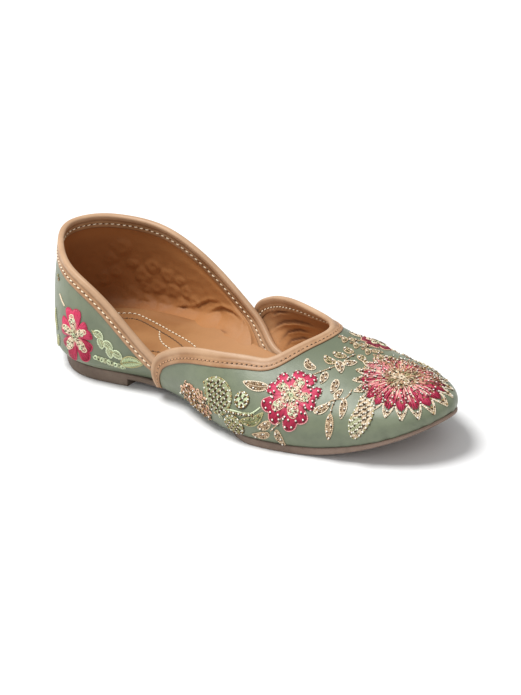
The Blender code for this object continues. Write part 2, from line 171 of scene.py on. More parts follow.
VAMP_CREASES = [
    # route, width, depth
    ([
        (104.0, 37.0, 13.0), (109.0, 37.0, 18.0), (115.0, 36.6, 22.0), (124.0, 35.5, 25.2),
        (133.0, 34.5, 26.6), (140.0, 34.3, 26.0),
    ], 1.0, 1.3),
    ([
        (113.1, 34.5, 10.6), (117.8, 36.2, 16.9), (126.1, 35.8, 20.6), (134.0, 35.0, 21.0),
    ], 0.75, 0.8),
    ([
        (117.7, 32.9, 8.5), (120.7, 35.1, 13.3), (128.2, 35.8, 16.4), (134.0, 35.5, 17.0),
    ], 0.75, 0.8),
    ([(104.0, 37.0, 22.0), (112.0, 37.0, 27.0), (122.0, 35.5, 30.2)], 0.8, 0.7),
]

# How finely each surface is cut.
QUARTER_STATIONS = 340
VAMP_STATIONS = 120
WALL_ROWS = 60
SOLE_STATIONS = 150
WALL_BAND = (BINDING_DEPTH / 2, BINDING_DEPTH)


class Spline:
    """A cubic curve through points. Its ends are straight, or level if flat is set."""

    def __init__(self, at, value, flat=False):
        at, value = np.array(at, float), np.array(value, float)
        count, width = len(at), np.diff(at)
        slope = np.diff(value) / width
        rule, target = np.zeros((count, count)), np.zeros(count)
        for i in range(1, count - 1):
            rule[i, i - 1 : i + 2] = width[i - 1], 2 * (width[i - 1] + width[i]), width[i]
            target[i] = 6 * (slope[i] - slope[i - 1])
        rule[0, 0] = rule[-1, -1] = 1
        if flat:
            rule[0, :2] = 2 * width[0], width[0]
            rule[-1, -2:] = width[-1], 2 * width[-1]
            target[0], target[-1] = 6 * slope[0], -6 * slope[-1]
        self.at, self.value, self.width = at, value, width
        self.bend = np.linalg.solve(rule, target)

    def __call__(self, where):
        i = np.clip(np.searchsorted(self.at, where) - 1, 0, len(self.width) - 1)
        width = self.width[i]
        a = (self.at[i + 1] - where) / width
        b = 1 - a
        line = a * self.value[i] + b * self.value[i + 1]
        curve = (a**3 - a) * self.bend[i] + (b**3 - b) * self.bend[i + 1]
        return line + curve * width**2 / 6


def smooth_step(x, start, end):
    t = np.clip((x - start) / (end - start), 0, 1)
    return t * t * (3 - 2 * t)


def over_stretch(x, start, full, fades, end):
    """0 before the start, 1 from full until it fades, and 0 again past the end."""
    return smooth_step(x, start, full) * (1 - smooth_step(x, fades, end))


def lengths(points):
    """How far along a line of points each one lies."""
    return np.concatenate([[0], np.cumsum(np.linalg.norm(np.diff(points, axis=0), axis=1))])


def line_at(points, length, where):
    """Places along a line of points."""
    return np.stack([np.interp(where, length, column) for column in points.T], -1)


def columns(table):
    return [np.array(column) for column in zip(*table)]


def unit(vectors):
    return vectors / np.linalg.norm(vectors, axis=-1, keepdims=True)


# Around is the place around the shoe: 0 at the heel, 1 at the toe by the inner side, and 2 at
# the heel again by the outer side. Share is the same place without its side, from 0 to 1.
ALONG, LATERAL, MEDIAL, CROWN_ALONG, CROWN_UP, SQUARE = columns(SECTIONS)
chords = [np.hypot(np.diff(ALONG), np.diff(half)) for half in (LATERAL, MEDIAL)]
chords = (chords[0] + chords[1]) / 2
SHARES = np.concatenate([[0], np.cumsum(chords)]) / chords.sum()
along_at = Spline(SHARES, ALONG, flat=True)
lateral_at = Spline(SHARES, LATERAL)
medial_at = Spline(SHARES, MEDIAL)
crown_along_at = Spline(SHARES, CROWN_ALONG, flat=True)
crown_up_at = Spline(SHARES, CROWN_UP, flat=True)
square_at = Spline(SHARES, SQUARE)
FINE = np.linspace(0, 1, 2001)
THROAT_SHARE = np.interp(VAMP_TOP[-1][0], along_at(FINE), FINE)


def share_of(around):
    folded = np.mod(around, 2)
    return np.where(folded > 1, 2 - folded, folded)


def around_at(along, side):
    """The place around the shoe of a point along one side: 1 is the inner side, -1 the outer."""
    share = np.interp(along, along_at(FINE), FINE)
    return share if side > 0 else 2 - share


def spring(along):
    beyond = np.clip(along - TREAD_END, 0, None) / (ALONG[-1] - TREAD_END)
    return TOE_SPRING * beyond**SPRING_POWER


def sole_top(along):
    thinner = (SOLE_THICKNESS - HEEL_THICKNESS) * smooth_step(along, *SOLE_THINS)
    return HEEL_THICKNESS + thinner + spring(along)


def sole_bottom(along):
    arch = LIFT * (1 - smooth_step(along, BREAST, TREAD_START))
    thinner = TOE_THINNER * smooth_step(along, *TOE_THINS)
    return spring(along) + np.where(along < BREAST, 0, arch) + thinner


def outline(around):
    share = share_of(around)
    outer = np.mod(around, 2) > 1
    return along_at(share), np.where(outer, -lateral_at(share), medial_at(share))


def outward(around, step=1e-3):
    """The level direction that points out of the outline."""
    x0, y0 = outline(around - step)
    x1, y1 = outline(around + step)
    length = np.hypot(x1 - x0, y1 - y0)
    return (y0 - y1) / length, (x1 - x0) / length


def set_back(around, inset, up):
    """Points at a height, set back inside the outline."""
    (x, y), (nx, ny) = outline(around), outward(around)
    return np.stack([x - nx * inset, y - ny * inset, up], -1)


def ridge_slope(share, step=0.02):
    """How steeply the crown falls towards the toe, from the throat forward."""
    before, after = np.clip(share - step, 0, 1), np.clip(share + step, 0, 1)
    run = crown_along_at(after) - crown_along_at(before)
    fall = crown_up_at(after) - crown_up_at(before)
    slope = np.clip(fall / np.maximum(run, 1e-6), -1, 0)
    return slope * smooth_step(share, THROAT_SHARE - SLOPE_GROWS, THROAT_SHARE)


def last(around, rise):
    """A point of the quarter's middle surface. Rise runs from 0 at the sole to 1 at the crown."""
    share, (x, y), (nx, ny) = share_of(around), outline(around), outward(around)
    foot = sole_top(x)
    fore = smooth_step(x, *BULGE_CHANGES)
    vamp_setback = WELT + VAMP_OUT + WALL / 2
    setback = HEEL_SETBACK + (vamp_setback - HEEL_SETBACK) * smooth_step(x, *SETBACK_GROWS)
    bulge = HEEL_BULGE + (VAMP_BULGE - HEEL_BULGE) * fore
    swell = HEEL_RISE + (VAMP_RISE - HEEL_RISE) * fore
    x, y = x - nx * setback, y - ny * setback
    crown, across = crown_along_at(share), CROWN_ACROSS * smooth_step(along_at(share), *CROWN_LEANS)
    square = square_at(share)
    sine = np.sin(np.clip(rise, 0, 1) * np.pi / 2)
    lean = 1 - np.clip(1 - sine**2, 0, 1) ** (1 / square)
    px, py = x + (crown - x) * lean, y + (across - y) * lean
    up = sine ** (2 / square) * (crown_up_at(share) - foot)
    up = up + ridge_slope(share) * (px - crown) * sine**2
    grow = np.sin(np.pi / 2 * np.clip(up / swell, 0, 1))
    stay = swell + BULGE_STAY
    fade = np.cos(np.pi / 2 * np.clip((up - stay) / (BULGE_END - stay), 0, 1))
    out = bulge * grow * fade * (1 - lean)
    return np.stack([px + nx * out, py + ny * out, foot + up], -1)


def normal(around, rise, step=1e-3):
    below = np.minimum(rise, 1 - step)  # the two sides' ridges are one line
    across = last(around + step, below) - last(around - step, below)
    up = last(around, np.clip(rise + step, 0, 1)) - last(around, np.clip(rise - step, 0, 1))
    return unit(np.cross(up, across))


def facing(around, rise):
    """The direction out of the wall. On the ridge it is midway between the two sides'."""
    around, rise = np.broadcast_arrays(np.asarray(around, float), np.asarray(rise, float))
    n = normal(around, rise)
    return unit(np.where((rise > 1 - 1e-6)[..., None], n + normal(2 - around, rise), n))


def surface(around, rise, out):
    """A point that lies out of the quarter's middle surface, and never below the sole's top."""
    around, rise = np.broadcast_arrays(np.asarray(around, float), np.asarray(rise, float))
    points = last(around, rise) + facing(around, rise) * np.asarray(out)[..., None]
    points[..., 2] = np.maximum(points[..., 2], sole_top(points[..., 0]))
    return points


def vamp_middle(around):
    along = along_at(share_of(around))
    return VAMP_OUT + WING_OUT * (1 - smooth_step(along, *WING_REAR))


def quarter_middle(around):
    return np.zeros_like(around)


def rise_at(around, up):
    """The rise where the wall reaches a height, found by halving."""
    low, high = np.zeros_like(around), np.ones_like(around)
    for _ in range(40):
        middle = (low + high) / 2
        below = last(around, middle)[..., 2] < up
        low, high = np.where(below, middle, low), np.where(below, high, middle)
    return (low + high) / 2


def evenly(around, rise, middle, count):
    """The same route over the surface, cut into equal lengths."""
    points = surface(around, rise, middle(around))
    length = lengths(points)
    where = np.linspace(0, length[-1], count + 1)
    return np.interp(where, length, around), np.interp(where, length, rise)


def vamp_edge():
    """Half of the vamp's top edge, from the inner wing's foot to the throat."""
    along, up = columns(VAMP_TOP)
    up = np.array([*up[:-1], crown_up_at(THROAT_SHARE)], float)
    chord = np.concatenate([[0], np.cumsum(np.hypot(np.diff(along), np.diff(up)))])
    fine = np.linspace(0, chord[-1], 400)
    around = around_at(Spline(chord, along)(fine), 1)
    rise = rise_at(around, Spline(chord, up)(fine))
    rise[-1] = 1
    return evenly(around, rise, vamp_middle, VAMP_STATIONS)


def mirrored(around, rise):
    """Half of the vamp's stations, then the outer half, whose edge hangs a little lower."""
    station = np.linspace(0, 1, len(rise)).reshape(-1, *[1] * (rise.ndim - 1))
    outer = rise * (1 - Spline(*columns(OUTER_DIP))(station))
    return np.concatenate([around, 2 - around[-2::-1]]), np.concatenate([rise, outer[-2::-1]])


def quarter_edge():
    """The quarter's top edge, from the outer side round the heel to the inner side."""
    along, outer, inner = columns(QUARTER_TOP)
    end = around_at(QUARTER_END, 1)
    around = np.linspace(-end, end, 801)
    where = along_at(share_of(around))
    up = np.where(around < 0, Spline(along, outer)(where), Spline(along, inner)(where))
    return evenly(around, rise_at(around, up), quarter_middle, QUARTER_STATIONS)


def walk(around, rise, heading, distance, paces=6):
    """Where a walk over the middle surface ends, on a straight heading."""
    step = 1e-4
    for _ in range(paces):
        low, high = np.clip(rise - step, 0, 1), np.clip(rise + step, 0, 1)
        east = (last(around + step, rise) - last(around - step, rise)) / (2 * step)
        north = (last(around, high) - last(around, low)) / (high - low)[..., None]
        ee, en, nn = (east * east).sum(-1), (east * north).sum(-1), (north * north).sum(-1)
        he, hn = (east * heading).sum(-1), (north * heading).sum(-1)
        spread = ee * nn - en * en
        go_east, go_north = (nn * he - en * hn) / spread, (ee * hn - en * he) / spread
        gone = np.linalg.norm(east * go_east[..., None] + north * go_north[..., None], axis=-1)
        around = around + go_east * distance / paces / gone
        rise = np.clip(rise + go_north * distance / paces / gone, 0, 1)
    return around, rise


def edge_frame(around, rise, middle):
    """Points along a top edge, the directions out of the wall and up past it, and the mitre."""
    edge, out = surface(around, rise, middle(around)), facing(around, rise)
    legs = unit(np.diff(edge, axis=0))
    legs = np.concatenate([legs[:1], legs, legs[-1:]])
    up = np.cross(out, legs[1:] + legs[:-1])
    below = surface(around, rise * 0.8, middle(around))
    up = unit(up * np.sign((up * (edge - below)).sum(1))[:, None])
    leg_up = unit(np.cross(out, legs[1:]))
    return edge, out, up, 1 / np.abs((leg_up * up).sum(1))


def wall_rows(around, rise, middle, foot, forward):
    """Rows of places from the sole up to a top edge, the last ones square to the edge."""
    _, _, up, stretch = edge_frame(around, rise, middle)
    rows = [(around, rise)]
    for depth in WALL_BAND:
        rows.append(walk(around, rise, -up, depth * stretch))
    below_around, below_rise = rows[-1]
    fine = np.linspace(0, 1, 201)[:, None]
    ahead = fine + (np.clip(2 * fine, 0, 1) - fine) * forward
    down = fine + (np.clip(2 * fine - 1, 0, 1) - fine) * forward
    route_around = below_around + (foot - below_around) * ahead
    route_rise = below_rise * (1 - down)
    rest = [evenly(a, r, middle, WALL_ROWS - 2) for a, r in zip(route_around.T, route_rise.T)]
    for i in range(1, WALL_ROWS - 1):
        rows.append(tuple(np.array([station[part][i] for station in rest]) for part in (0, 1)))
    return tuple(np.stack(places[::-1], 1) for places in zip(*rows))


def quarter_places():
    around, top = quarter_edge()
    return wall_rows(around, top, quarter_middle, around, 0)


def vamp_places():
    edge, top = vamp_edge()
    foot = np.linspace(around_at(WING_FOOT + FAN, 1), 1, len(edge))
    return mirrored(*wall_rows(edge, top, vamp_middle, foot, np.linspace(0, 1, len(edge)) ** 3))


# ---------------------------------------------------------------- materials


class Value:
    """A number, vector or colour inside a material. Python's operators add the Math nodes."""

    def __init__(self, finish, socket):
        self.finish, self.socket = finish, socket

    def math(self, kind, *terms):
        return self.finish.node("ShaderNodeMath", {"operation": kind}, dict(enumerate(terms)))

    def __add__(self, other):
        return self.math("ADD", self, other)

    def __rsub__(self, other):
        return self.math("SUBTRACT", other, self)

    def __mul__(self, other):
        return self.math("MULTIPLY", self, other)

    __radd__, __rmul__ = __add__, __mul__

    def between(self, low, high):
        """0 below low, 1 above high, and smooth in between."""
        settings = {"interpolation_type": "SMOOTHSTEP"}
        values = {"Value": self, "From Min": low, "From Max": high}
        return self.finish.node("ShaderNodeMapRange", settings, values)


class Finish:
    """A material and the nodes in it."""

    def __init__(self, name):
        self.material = bpy.data.materials.new(name)
        self.material.use_nodes = True
        self.tree = self.material.node_tree
        self.shader = self.tree.nodes["Principled BSDF"]
        self.place = self.node("ShaderNodeTexCoord", {}, {}, "Object")

    def node(self, kind, settings, values, out=0):
        made = self.tree.nodes.new(kind)
        for key, value in settings.items():
            setattr(made, key, value)
        for key, value in values.items():
            self.join(value, made.inputs[key])
        return Value(self, made.outputs[out])

    def join(self, value, socket):
        if isinstance(value, Value):
            self.tree.links.new(value.socket, socket)
        elif isinstance(value, tuple) and socket.type == "RGBA":
            socket.default_value = (*value, 1)
        else:
            socket.default_value = value

    def noise(self, size, detail):
        """Soft random patches, size across in millimetres, from 0 to 1."""
        values = {"Scale": 1 / (size * MM), "Detail": detail, "Roughness": 0.55}
        return self.node("ShaderNodeTexNoise", {}, {"Vector": self.place, **values})

    def cells(self, size):
        values = {"Vector": self.place, "Scale": 1 / (size * MM)}
        return self.node("ShaderNodeTexVoronoi", {"feature": "SMOOTH_F1"}, values)

    def painted(self, name):
        """A number that the mesh holds at each of its points."""
        return self.node("ShaderNodeAttribute", {"attribute_name": name}, {}, "Fac")

    def forward(self, start, end):
        """0 behind one place along the shoe, 1 ahead of another, and smooth in between."""
        along = self.node("ShaderNodeSeparateXYZ", {}, {0: self.place})
        return along.between((start + SHIFT[0]) * MM, (end + SHIFT[0]) * MM)

    def mix(self, share, low, high):
        """Sets the colour between two others."""
        values = {0: share, 6: low, 7: high}
        self.colour = self.node("ShaderNodeMix", {"data_type": "RGBA"}, values, 2)

    def over(self, share, colour):
        """Lays a share of another colour over the colour so far."""
        self.mix(share, self.colour, colour)

    def set(self, **values):
        for name, value in values.items():
            self.join(value, self.shader.inputs[name.replace("_", " ")])
        return self

    def dress(self, rough, shine, relief, depth, strength=0.5, **values):
        """Joins the colour, the roughness and the relief, depth deep in millimetres."""
        self.set(Base_Color=self.colour, Roughness=rough, Specular_IOR_Level=shine, **values)
        values = {"Height": relief, "Distance": depth * MM, "Strength": strength}
        self.set(Normal=self.node("ShaderNodeBump", {}, values))
        return self


FRONT_TAN = 0.525, 0.275, 0.128  # the inside's colour under the arch, where it is lightest
# The lining's darker tan: painted shade at the heel and deep under the vamp, far inside the shoe.
LINING_TAN = 0.335, 0.125, 0.036


def green_leather():
    f = Finish("green_leather")
    wide, fine, grain = f.noise(38, 2.0), f.noise(4.5, 4.0), f.cells(0.55)
    f.mix(wide.between(0.35, 0.68), (0.136, 0.160, 0.100), (0.176, 0.202, 0.128))
    f.over(fine.between(0.42, 0.75) * 0.45, (0.118, 0.143, 0.092))
    # Painted shade down by the sole and in the hollows of the gathers under the toe.
    f.over(f.painted("worn") * 0.8, (0.055, 0.062, 0.040))
    f.set(Sheen_Weight=0.05, Sheen_Roughness=0.5, Sheen_Tint=(0.8, 0.85, 0.7))
    return f.dress(0.36 + 0.14 * fine, 0.5, grain * 0.6 + fine * 0.9, 0.12)


def lining_leather():
    f = Finish("lining_leather")
    wide, fine, grain = f.noise(24, 2.0), f.noise(2.6, 5.0), f.cells(0.5)
    light, front, deep = f.forward(0, 70), f.forward(66, 104), f.forward(108, 124)
    # Painted shade: darker at the heel deep inside the shoe, lighter towards the open front under
    # the arch.
    f.mix(light, LINING_TAN, (0.50, 0.225, 0.078))
    f.over(wide.between(0.4, 0.7) * 0.5 * (1 - light), (0.29, 0.105, 0.032))
    f.over(front * 0.8 * (1 - 0.85 * deep), FRONT_TAN)
    # Painted shade again past the quarters' ends, deep under the vamp.
    f.over(deep * 0.4, LINING_TAN)
    # Painted shade in the lining's creases, round its cushions and above the vamp lining's main
    # crease.
    f.over(f.painted("worn") * 0.85, (0.085, 0.026, 0.009))
    return f.dress(0.48 + 0.2 * fine, 0.28, grain * 0.4 + fine, 0.30)


def binding_leather():
    f = Finish("binding_leather")
    wide, fine, grain = f.noise(14, 2.0), f.noise(1.8, 5.0), f.cells(0.45)
    f.mix(wide.between(0.35, 0.7), (0.35, 0.180, 0.082), (0.47, 0.278, 0.152))
    f.over(fine.between(0.5, 0.8) * 0.35, (0.26, 0.118, 0.050))
    # A painted highlight along the top of each roll.
    f.over(f.painted("painted_highlight") * 0.45, (0.62, 0.42, 0.27))
    # Painted shade in the stitch groove, in the valley under the roll, along the band's cut edge
    # and on its inner face.
    f.over(f.painted("worn"), (0.060, 0.024, 0.011))
    return f.dress(0.4 + 0.16 * fine, 0.42, grain * 0.5 + fine, 0.10)


def insole_leather():
    f = Finish("insole_leather")
    wide, fine, grain = f.noise(30, 3.0), f.noise(2.2, 5.0), f.cells(0.5)
    f.mix(wide.between(0.35, 0.7), (0.30, 0.132, 0.046), (0.39, 0.190, 0.074))
    f.over(f.forward(52, 98) * 0.72, FRONT_TAN)
    # Painted shade round the rim, where the lining meets the insole.
    f.over(f.painted("worn") * 0.8, (0.11, 0.040, 0.014))
    return f.dress(0.46 + 0.16 * fine, 0.35, grain * 0.4 + fine, 0.09, 0.4)


def sole_rubber():
    f = Finish("sole_rubber")
    wide, fine = f.noise(16, 3.0), f.noise(0.9, 4.0)
    f.mix(wide.between(0.3, 0.7), (0.150, 0.107, 0.080), (0.205, 0.152, 0.118))
    f.over(f.forward(120, 235) * 0.6, (0.33, 0.225, 0.175))
    f.over(fine.between(0.5, 0.8) * 0.4, (0.085, 0.06, 0.045))
    # Painted shade along the bottom edge by the floor, and random darker blotches.
    f.over(f.painted("worn") * 0.7, (0.055, 0.038, 0.028))
    return f.dress(0.62 + 0.15 * fine, 0.3, fine, 0.12)


def thread(name, dark, light, rough=0.42, shine=0.4, metallic=0.0):
    """Spun thread or a bead. Each strand's tone says where it lies between the two colours."""
    f = Finish(name)
    fuzz = f.noise(0.5, 2.0)
    f.mix(f.painted("tone"), dark, light)
    f.over(fuzz.between(0.45, 0.8) * 0.22, tuple(0.55 * part for part in dark))
    return f.dress(rough, shine, fuzz, 0.05, 0.3, Metallic=metallic)


# ---------------------------------------------------------------- meshes


def shift_of_frame():
    """From the tables' origin, at the back of the heel, to the frame's origin."""
    low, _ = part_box("outsole")
    return np.array([low[0] / MM - along_at(FINE).min(), low[1] / MM + lateral_at(FINE).max(), 0])


SHIFT = shift_of_frame()


def put(name, data):
    """A new object in the scene."""
    made = bpy.data.objects.new(name, data)
    bpy.context.scene.collection.objects.link(made)
    return made


def piece(name, slot, points, faces, finishes, which=None, **painted):
    """A mesh of the shoe. Which is each face's finish, and painted holds numbers per point."""
    data = bpy.data.meshes.new(name)
    data.from_pydata(((np.asarray(points) + SHIFT) * MM).tolist(), [], faces)
    if which is not None:
        data.polygons.foreach_set("material_index", np.asarray(which, np.int32))
    for label, values in painted.items():
        layer = data.attributes.new(label, "FLOAT", "POINT")
        layer.data.foreach_set("value", np.asarray(values, np.float32))
    data.shade_smooth()
    for finish in finishes:
        data.materials.append(finish.material)
    made = put(name, data)
    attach(made, "root")
    return made


def solid(name, slot, points, faces, finishes, which=None, sharp=50, **painted):
    """A closed piece, with every face turned out of it and its sharp edges kept."""
    made = piece(name, slot, points, faces, finishes, which, **painted)
    made.data.set_sharp_from_angle(angle=np.radians(sharp))
    mesh = bmesh.new()
    mesh.from_mesh(made.data)
    bmesh.ops.remove_doubles(mesh, verts=mesh.verts, dist=1e-7)
    bmesh.ops.recalc_face_normals(mesh, faces=mesh.faces)
    mesh.to_mesh(made.data)
    mesh.free()
    return made


def grid_faces(stations, rows, start=0, flip=False):
    i, j = np.meshgrid(np.arange(stations - 1), np.arange(rows - 1), indexing="ij")
    a = (start + i * rows + j).ravel()
    quads = np.stack([a, a + 1, a + rows + 1, a + rows], 1)
    return (quads[:, ::-1] if flip else quads).tolist()


def strip_faces(one, other):
    """Faces between two lines of points of the same length."""
    return np.stack([one[:-1], one[1:], other[1:], other[:-1]], 1).tolist()


def shell(outer, inner):
    """Points and faces of a closed sheet between two grids, and a finish per face: 0 outside."""
    stations, rows = outer.shape[:2]
    count = stations * rows
    index = np.arange(count).reshape(stations, rows)
    faces = grid_faces(stations, rows)
    which = [0] * len(faces)
    faces += grid_faces(stations, rows, count, flip=True)
    for line in (index[:, 0], index[::-1, -1], index[-1, :], index[0, ::-1]):
        faces += strip_faces(line, line + count)
    which += [1] * (len(faces) - len(which))
    return np.concatenate([outer.reshape(-1, 3), inner.reshape(-1, 3)]), faces, which


# ---------------------------------------------------------------- soft shapes on the surfaces


def soft(points, size, seed=0.0):
    """Smooth random heights, about -1 to 1, over points in millimetres."""
    flat = points.reshape(-1, 3).tolist()
    heights = [noise.noise(Vector(p) / size + Vector((seed, 0, 0))) for p in flat]
    return np.array(heights).reshape(points.shape[:-1])


def bumps(points, centres, radius, power):
    """How far up a rounded bump each point lies, from 0 to 1, for the nearest of the centres."""
    flat = points.reshape(-1, 3)
    best = np.zeros(len(flat))
    for centre, wide in zip(centres, radius):
        away = np.linalg.norm(flat - centre, axis=1) / wide
        best = np.maximum(best, np.clip(1 - away**power, 0, 1))
    return best.reshape(points.shape[:-1])


def route_distance(points, route):
    """Distance from each point to a line of points, and where along the line, from 0 to 1."""
    flat, shape = points.reshape(-1, 3), points.shape[:-1]
    best, where = np.full(len(flat), 1e9), np.zeros(len(flat))
    for i, (a, b) in enumerate(zip(route[:-1], route[1:])):
        t = np.clip(((flat - a) @ (b - a)) / ((b - a) @ (b - a)), 0, 1)
        away = np.linalg.norm(flat - a - t[:, None] * (b - a), axis=1)
        near = away < best
        best = np.where(near, away, best)
        where = np.where(near, (i + t) / (len(route) - 1), where)
    return best.reshape(shape), where.reshape(shape)


def dip(where, at, wide):
    """1 at one place, falling away smoothly on both sides."""
    return np.exp(-(((where - at) / wide) ** 2))


def trough(points, route, wide, deep):
    """A soft crease along a line of points, deepest at its middle."""
    away, where = route_distance(points, route)
    return -deep * dip(away, 0, wide) * np.sin(np.pi * np.clip(where, 0.04, 0.96))


def crease(points, route, wide, deep, lip_rise, lip_share):
    """A crease with a rounded lip beside it, and how deep in the crease each point lies."""
    dent = trough(points, route, wide, deep)
    lip = trough(points, route + (0, 0, wide * lip_rise), wide * 1.3, deep * lip_share)
    return dent - lip, -dent / deep


# ---------------------------------------------------------------- quarter and vamp


def above_sole(points):
    return points[..., 2] - sole_top(points[..., 0])


def toe_puckers(around, points):
    """Little gathers where the vamp is drawn in under the toe."""
    low = np.clip(1 - above_sole(points) / PUCKER_REACH, 0, 1) ** 1.5
    fore = smooth_step(along_at(share_of(around)), *PUCKERS_GROW)
    wave = np.sin(around * 262 + 1.6 * np.sin(around * 47)) * (0.6 + 0.4 * np.sin(around * 91))
    return PUCKER_DEPTH * low * fore * wave


def waist_inset(along, side):
    """How far the sole's edge stands back under the upper. Side 0 is the outer one."""
    return WAIST_INSET[side] * over_stretch(along, *WAIST_SPAN)


def tucked_under(points):
    """The vamp's foot, turned a little under where the sole stands back from it."""
    share, up = over_stretch(points[..., 0], *TUCK_SPAN), above_sole(points)
    points[..., 2] -= TUCK_DROP * share * (1 - smooth_step(up, 0, TUCK_REACH))
    return points


def outside(around, rise, middle):
    """The leather's outer face, with small rises and falls, and gathers under the toe."""
    skin = middle(around) + WALL / 2
    base = surface(around, rise, skin)
    relief = 0.10 * soft(base, 17.0) + 0.05 * soft(base, 6.5, 7.0)
    if middle is quarter_middle:
        return surface(around, rise, skin + relief)
    return tucked_under(surface(around, rise, skin + (relief + toe_puckers(around, base))))


def upper(slot, outer, inner, dark_foot, lining_shade, gathers=0.0):
    """A wall of green leather with its lining, with painted shade down by the sole, in the gathers
    and on the lining.
    """
    points, faces, which = shell(outer, inner)
    # Painted shade, darkest where the wall meets the sole and gone dark_foot millimetres up.
    seam = smooth_step(above_sole(outer), dark_foot, 0)
    worn = np.concatenate([np.maximum(seam, gathers).ravel(), lining_shade.ravel()])
    leathers = [LEATHER_GREEN, LEATHER_LINING]
    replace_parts(solid(slot + "_upper", slot, points, faces, leathers, which, worn=worn), slot)


def quarter_upper(around, rise):
    lining = quarter_middle(around) - WALL / 2
    from_foot = np.linspace(0, 1, around.shape[1])
    under_band, below_band = smooth_step(from_foot, 0.9, 0.8), smooth_step(from_foot, 0.96, 0.80)
    height, shade = lining_relief(surface(around, rise, lining))
    inner = surface(around, rise, lining - height * under_band)
    inner = rounded_over(around, inner, below_band)
    upper("quarter", outside(around, rise, quarter_middle), inner, 1.6, shade * under_band)


def vamp_upper(around, rise):
    lining, outer = vamp_middle(around) - WALL / 2, outside(around, rise, vamp_middle)
    height, shade = vamp_lining_relief(surface(around, rise, lining))
    inner = tucked_under(surface(around, rise, lining - height))
    # Painted shade in the hollows of the gathers under the toe.
    gathers = np.clip(-toe_puckers(around, outer) * 3.2, 0, 1)
    upper("vamp", outer, inner, 1.5, shade, gathers)


def lasting_margin(finish):
    """The upper's edge, turned in under the foot at the waist as far as the sole's edge."""
    for side, name in enumerate(("lasting_margin_outer", "lasting_margin_inner")):
        around = around_at(np.linspace(*MARGIN_SPAN, 90), 2 * side - 1)
        (x, y), (nx, ny) = outline(around), outward(around)
        foot = last(around, np.zeros(len(around)))
        away = (x - foot[:, 0]) * nx + (y - foot[:, 1]) * ny  # from the foot out to the outline
        skin = away - vamp_middle(around) - WALL / 2
        rows = []
        for t in np.linspace(0, 1, 7):
            back = skin + MARGIN_START + (waist_inset(x, side) + MARGIN_PAST - skin) * t
            rounding = np.sqrt(np.clip(1 - t**2, 0, 1))
            drop = TUCK_DROP * over_stretch(x, *TUCK_SPAN) * rounding * 0.9 + 0.25
            gathers = 0.12 * np.sin(x * 2.4) * np.sin(np.pi * t)
            rows.append(set_back(around, back, sole_top(x) - drop + gathers))
        under = np.stack(rows, 1)
        points, faces, _ = shell(under + (0, 0, MARGIN_THICKNESS), under)
        solid(name, "vamp", points, faces, [finish], worn=np.zeros(len(points)))


def rounded_over(around, points, share):
    """The lining's foot, which rounds over on to the insole."""
    nx, ny = outward(around)
    up = above_sole(points) - INSOLE_THICKNESS
    inward = COVE * np.exp(-np.clip(up + 0.2, 0, None) / COVE_HEIGHT) * share
    return points - np.stack([nx * inward, ny * inward, 0 * inward], -1)


def lining_relief(points):
    """How far the soft lining stands in from the wall, and how shaded its creases are.

    The stitching of the flowers pulls it into cushions.
    """
    low = 1 - smooth_step(points[..., 2], 38, 52)
    height = 0.16 * (1 + soft(points, 8.0, 3.0))
    height = height + (0.08 + 0.16 * low) * (1 + soft(points, 3.6, 9.0))
    warp = np.stack([soft(points, 4.5, seed) for seed in (1.0, 21.0, 41.0)], -1)
    shade = np.zeros(height.shape)
    cushions, pillows = np.array(CUSHIONS), np.array(PILLOWS)
    for mirror in ((1, 1, 1), (1, -1, 1)):
        centres, wide = cushions[:, :3] * mirror, cushions[:, 3]
        puff = bumps(points + 1.7 * warp, centres, wide * 1.1, 1.7)
        dimple = bumps(points + warp, centres, wide * 0.5, 2.0)
        height += CUSHION_HEIGHT * puff**0.9 - CUSHION_DIMPLE * dimple
        shade = np.maximum(shade, 0.26 * dip(puff, 0.06, 0.10))
        height += PILLOW_HEIGHT * bumps(points, pillows[:, :3] * mirror, pillows[:, 3], 2.2)
        for route, wide, deep in CREASES:
            fold, depth = crease(points, np.array(route) * mirror, wide, deep, 1.5, 0.7)
            height += fold
            shade = np.maximum(shade, np.clip(depth, 0, 1) ** 3 * 0.8)
    return np.clip(height, 0, None), np.clip(shade, 0, 1)


def vamp_lining_relief(points):
    height = 0.1 * (1 + soft(points, 9.0, 3.0)) + 0.12 * (1 + soft(points, 4.0, 6.0))
    shade = np.zeros(height.shape)
    flat = points * (1, 0, 1)  # the creases are drawn as seen from the side
    for route, wide, deep in VAMP_CREASES:
        fold, depth = crease(flat, np.array(route) * (1, 0, 1), wide, deep, -1.5, 0.8)
        height += fold
        shade = np.maximum(shade, np.clip(1.7 * depth, 0, 1))
    main = np.array(VAMP_CREASES[0][0])
    over = points[..., 2] - np.interp(points[..., 0], main[:, 0], main[:, 2])
    shade = np.maximum(shade, 0.36 * smooth_step(over, -0.4, 0.8))
    inside_arch = 1 - smooth_step(points[..., 0], 150, 170)
    return np.clip(height, 0, None) * inside_arch + 0.05, shade * inside_arch


# ---------------------------------------------------------------- bindings

BAND_ROWS = 15
ROLL_ROWS = 11
STITCH_DEPTH = 4.3
ROLL_WIDTH = 2.2  # from the edge down to the dent that parts the roll from the band
SKIVED = 0.3  # the leather's thickness at a band's lower edge
GAP_SHOWN = 0.02  # between the binding and the wall it is sewn to
FOOT_SCALE, THROAT_SCALE = 0.42, 0.80  # the vamp's bands, against their full width
FOOT_WIDENS, THROAT_NARROWS = (0, 24), (72, 6)


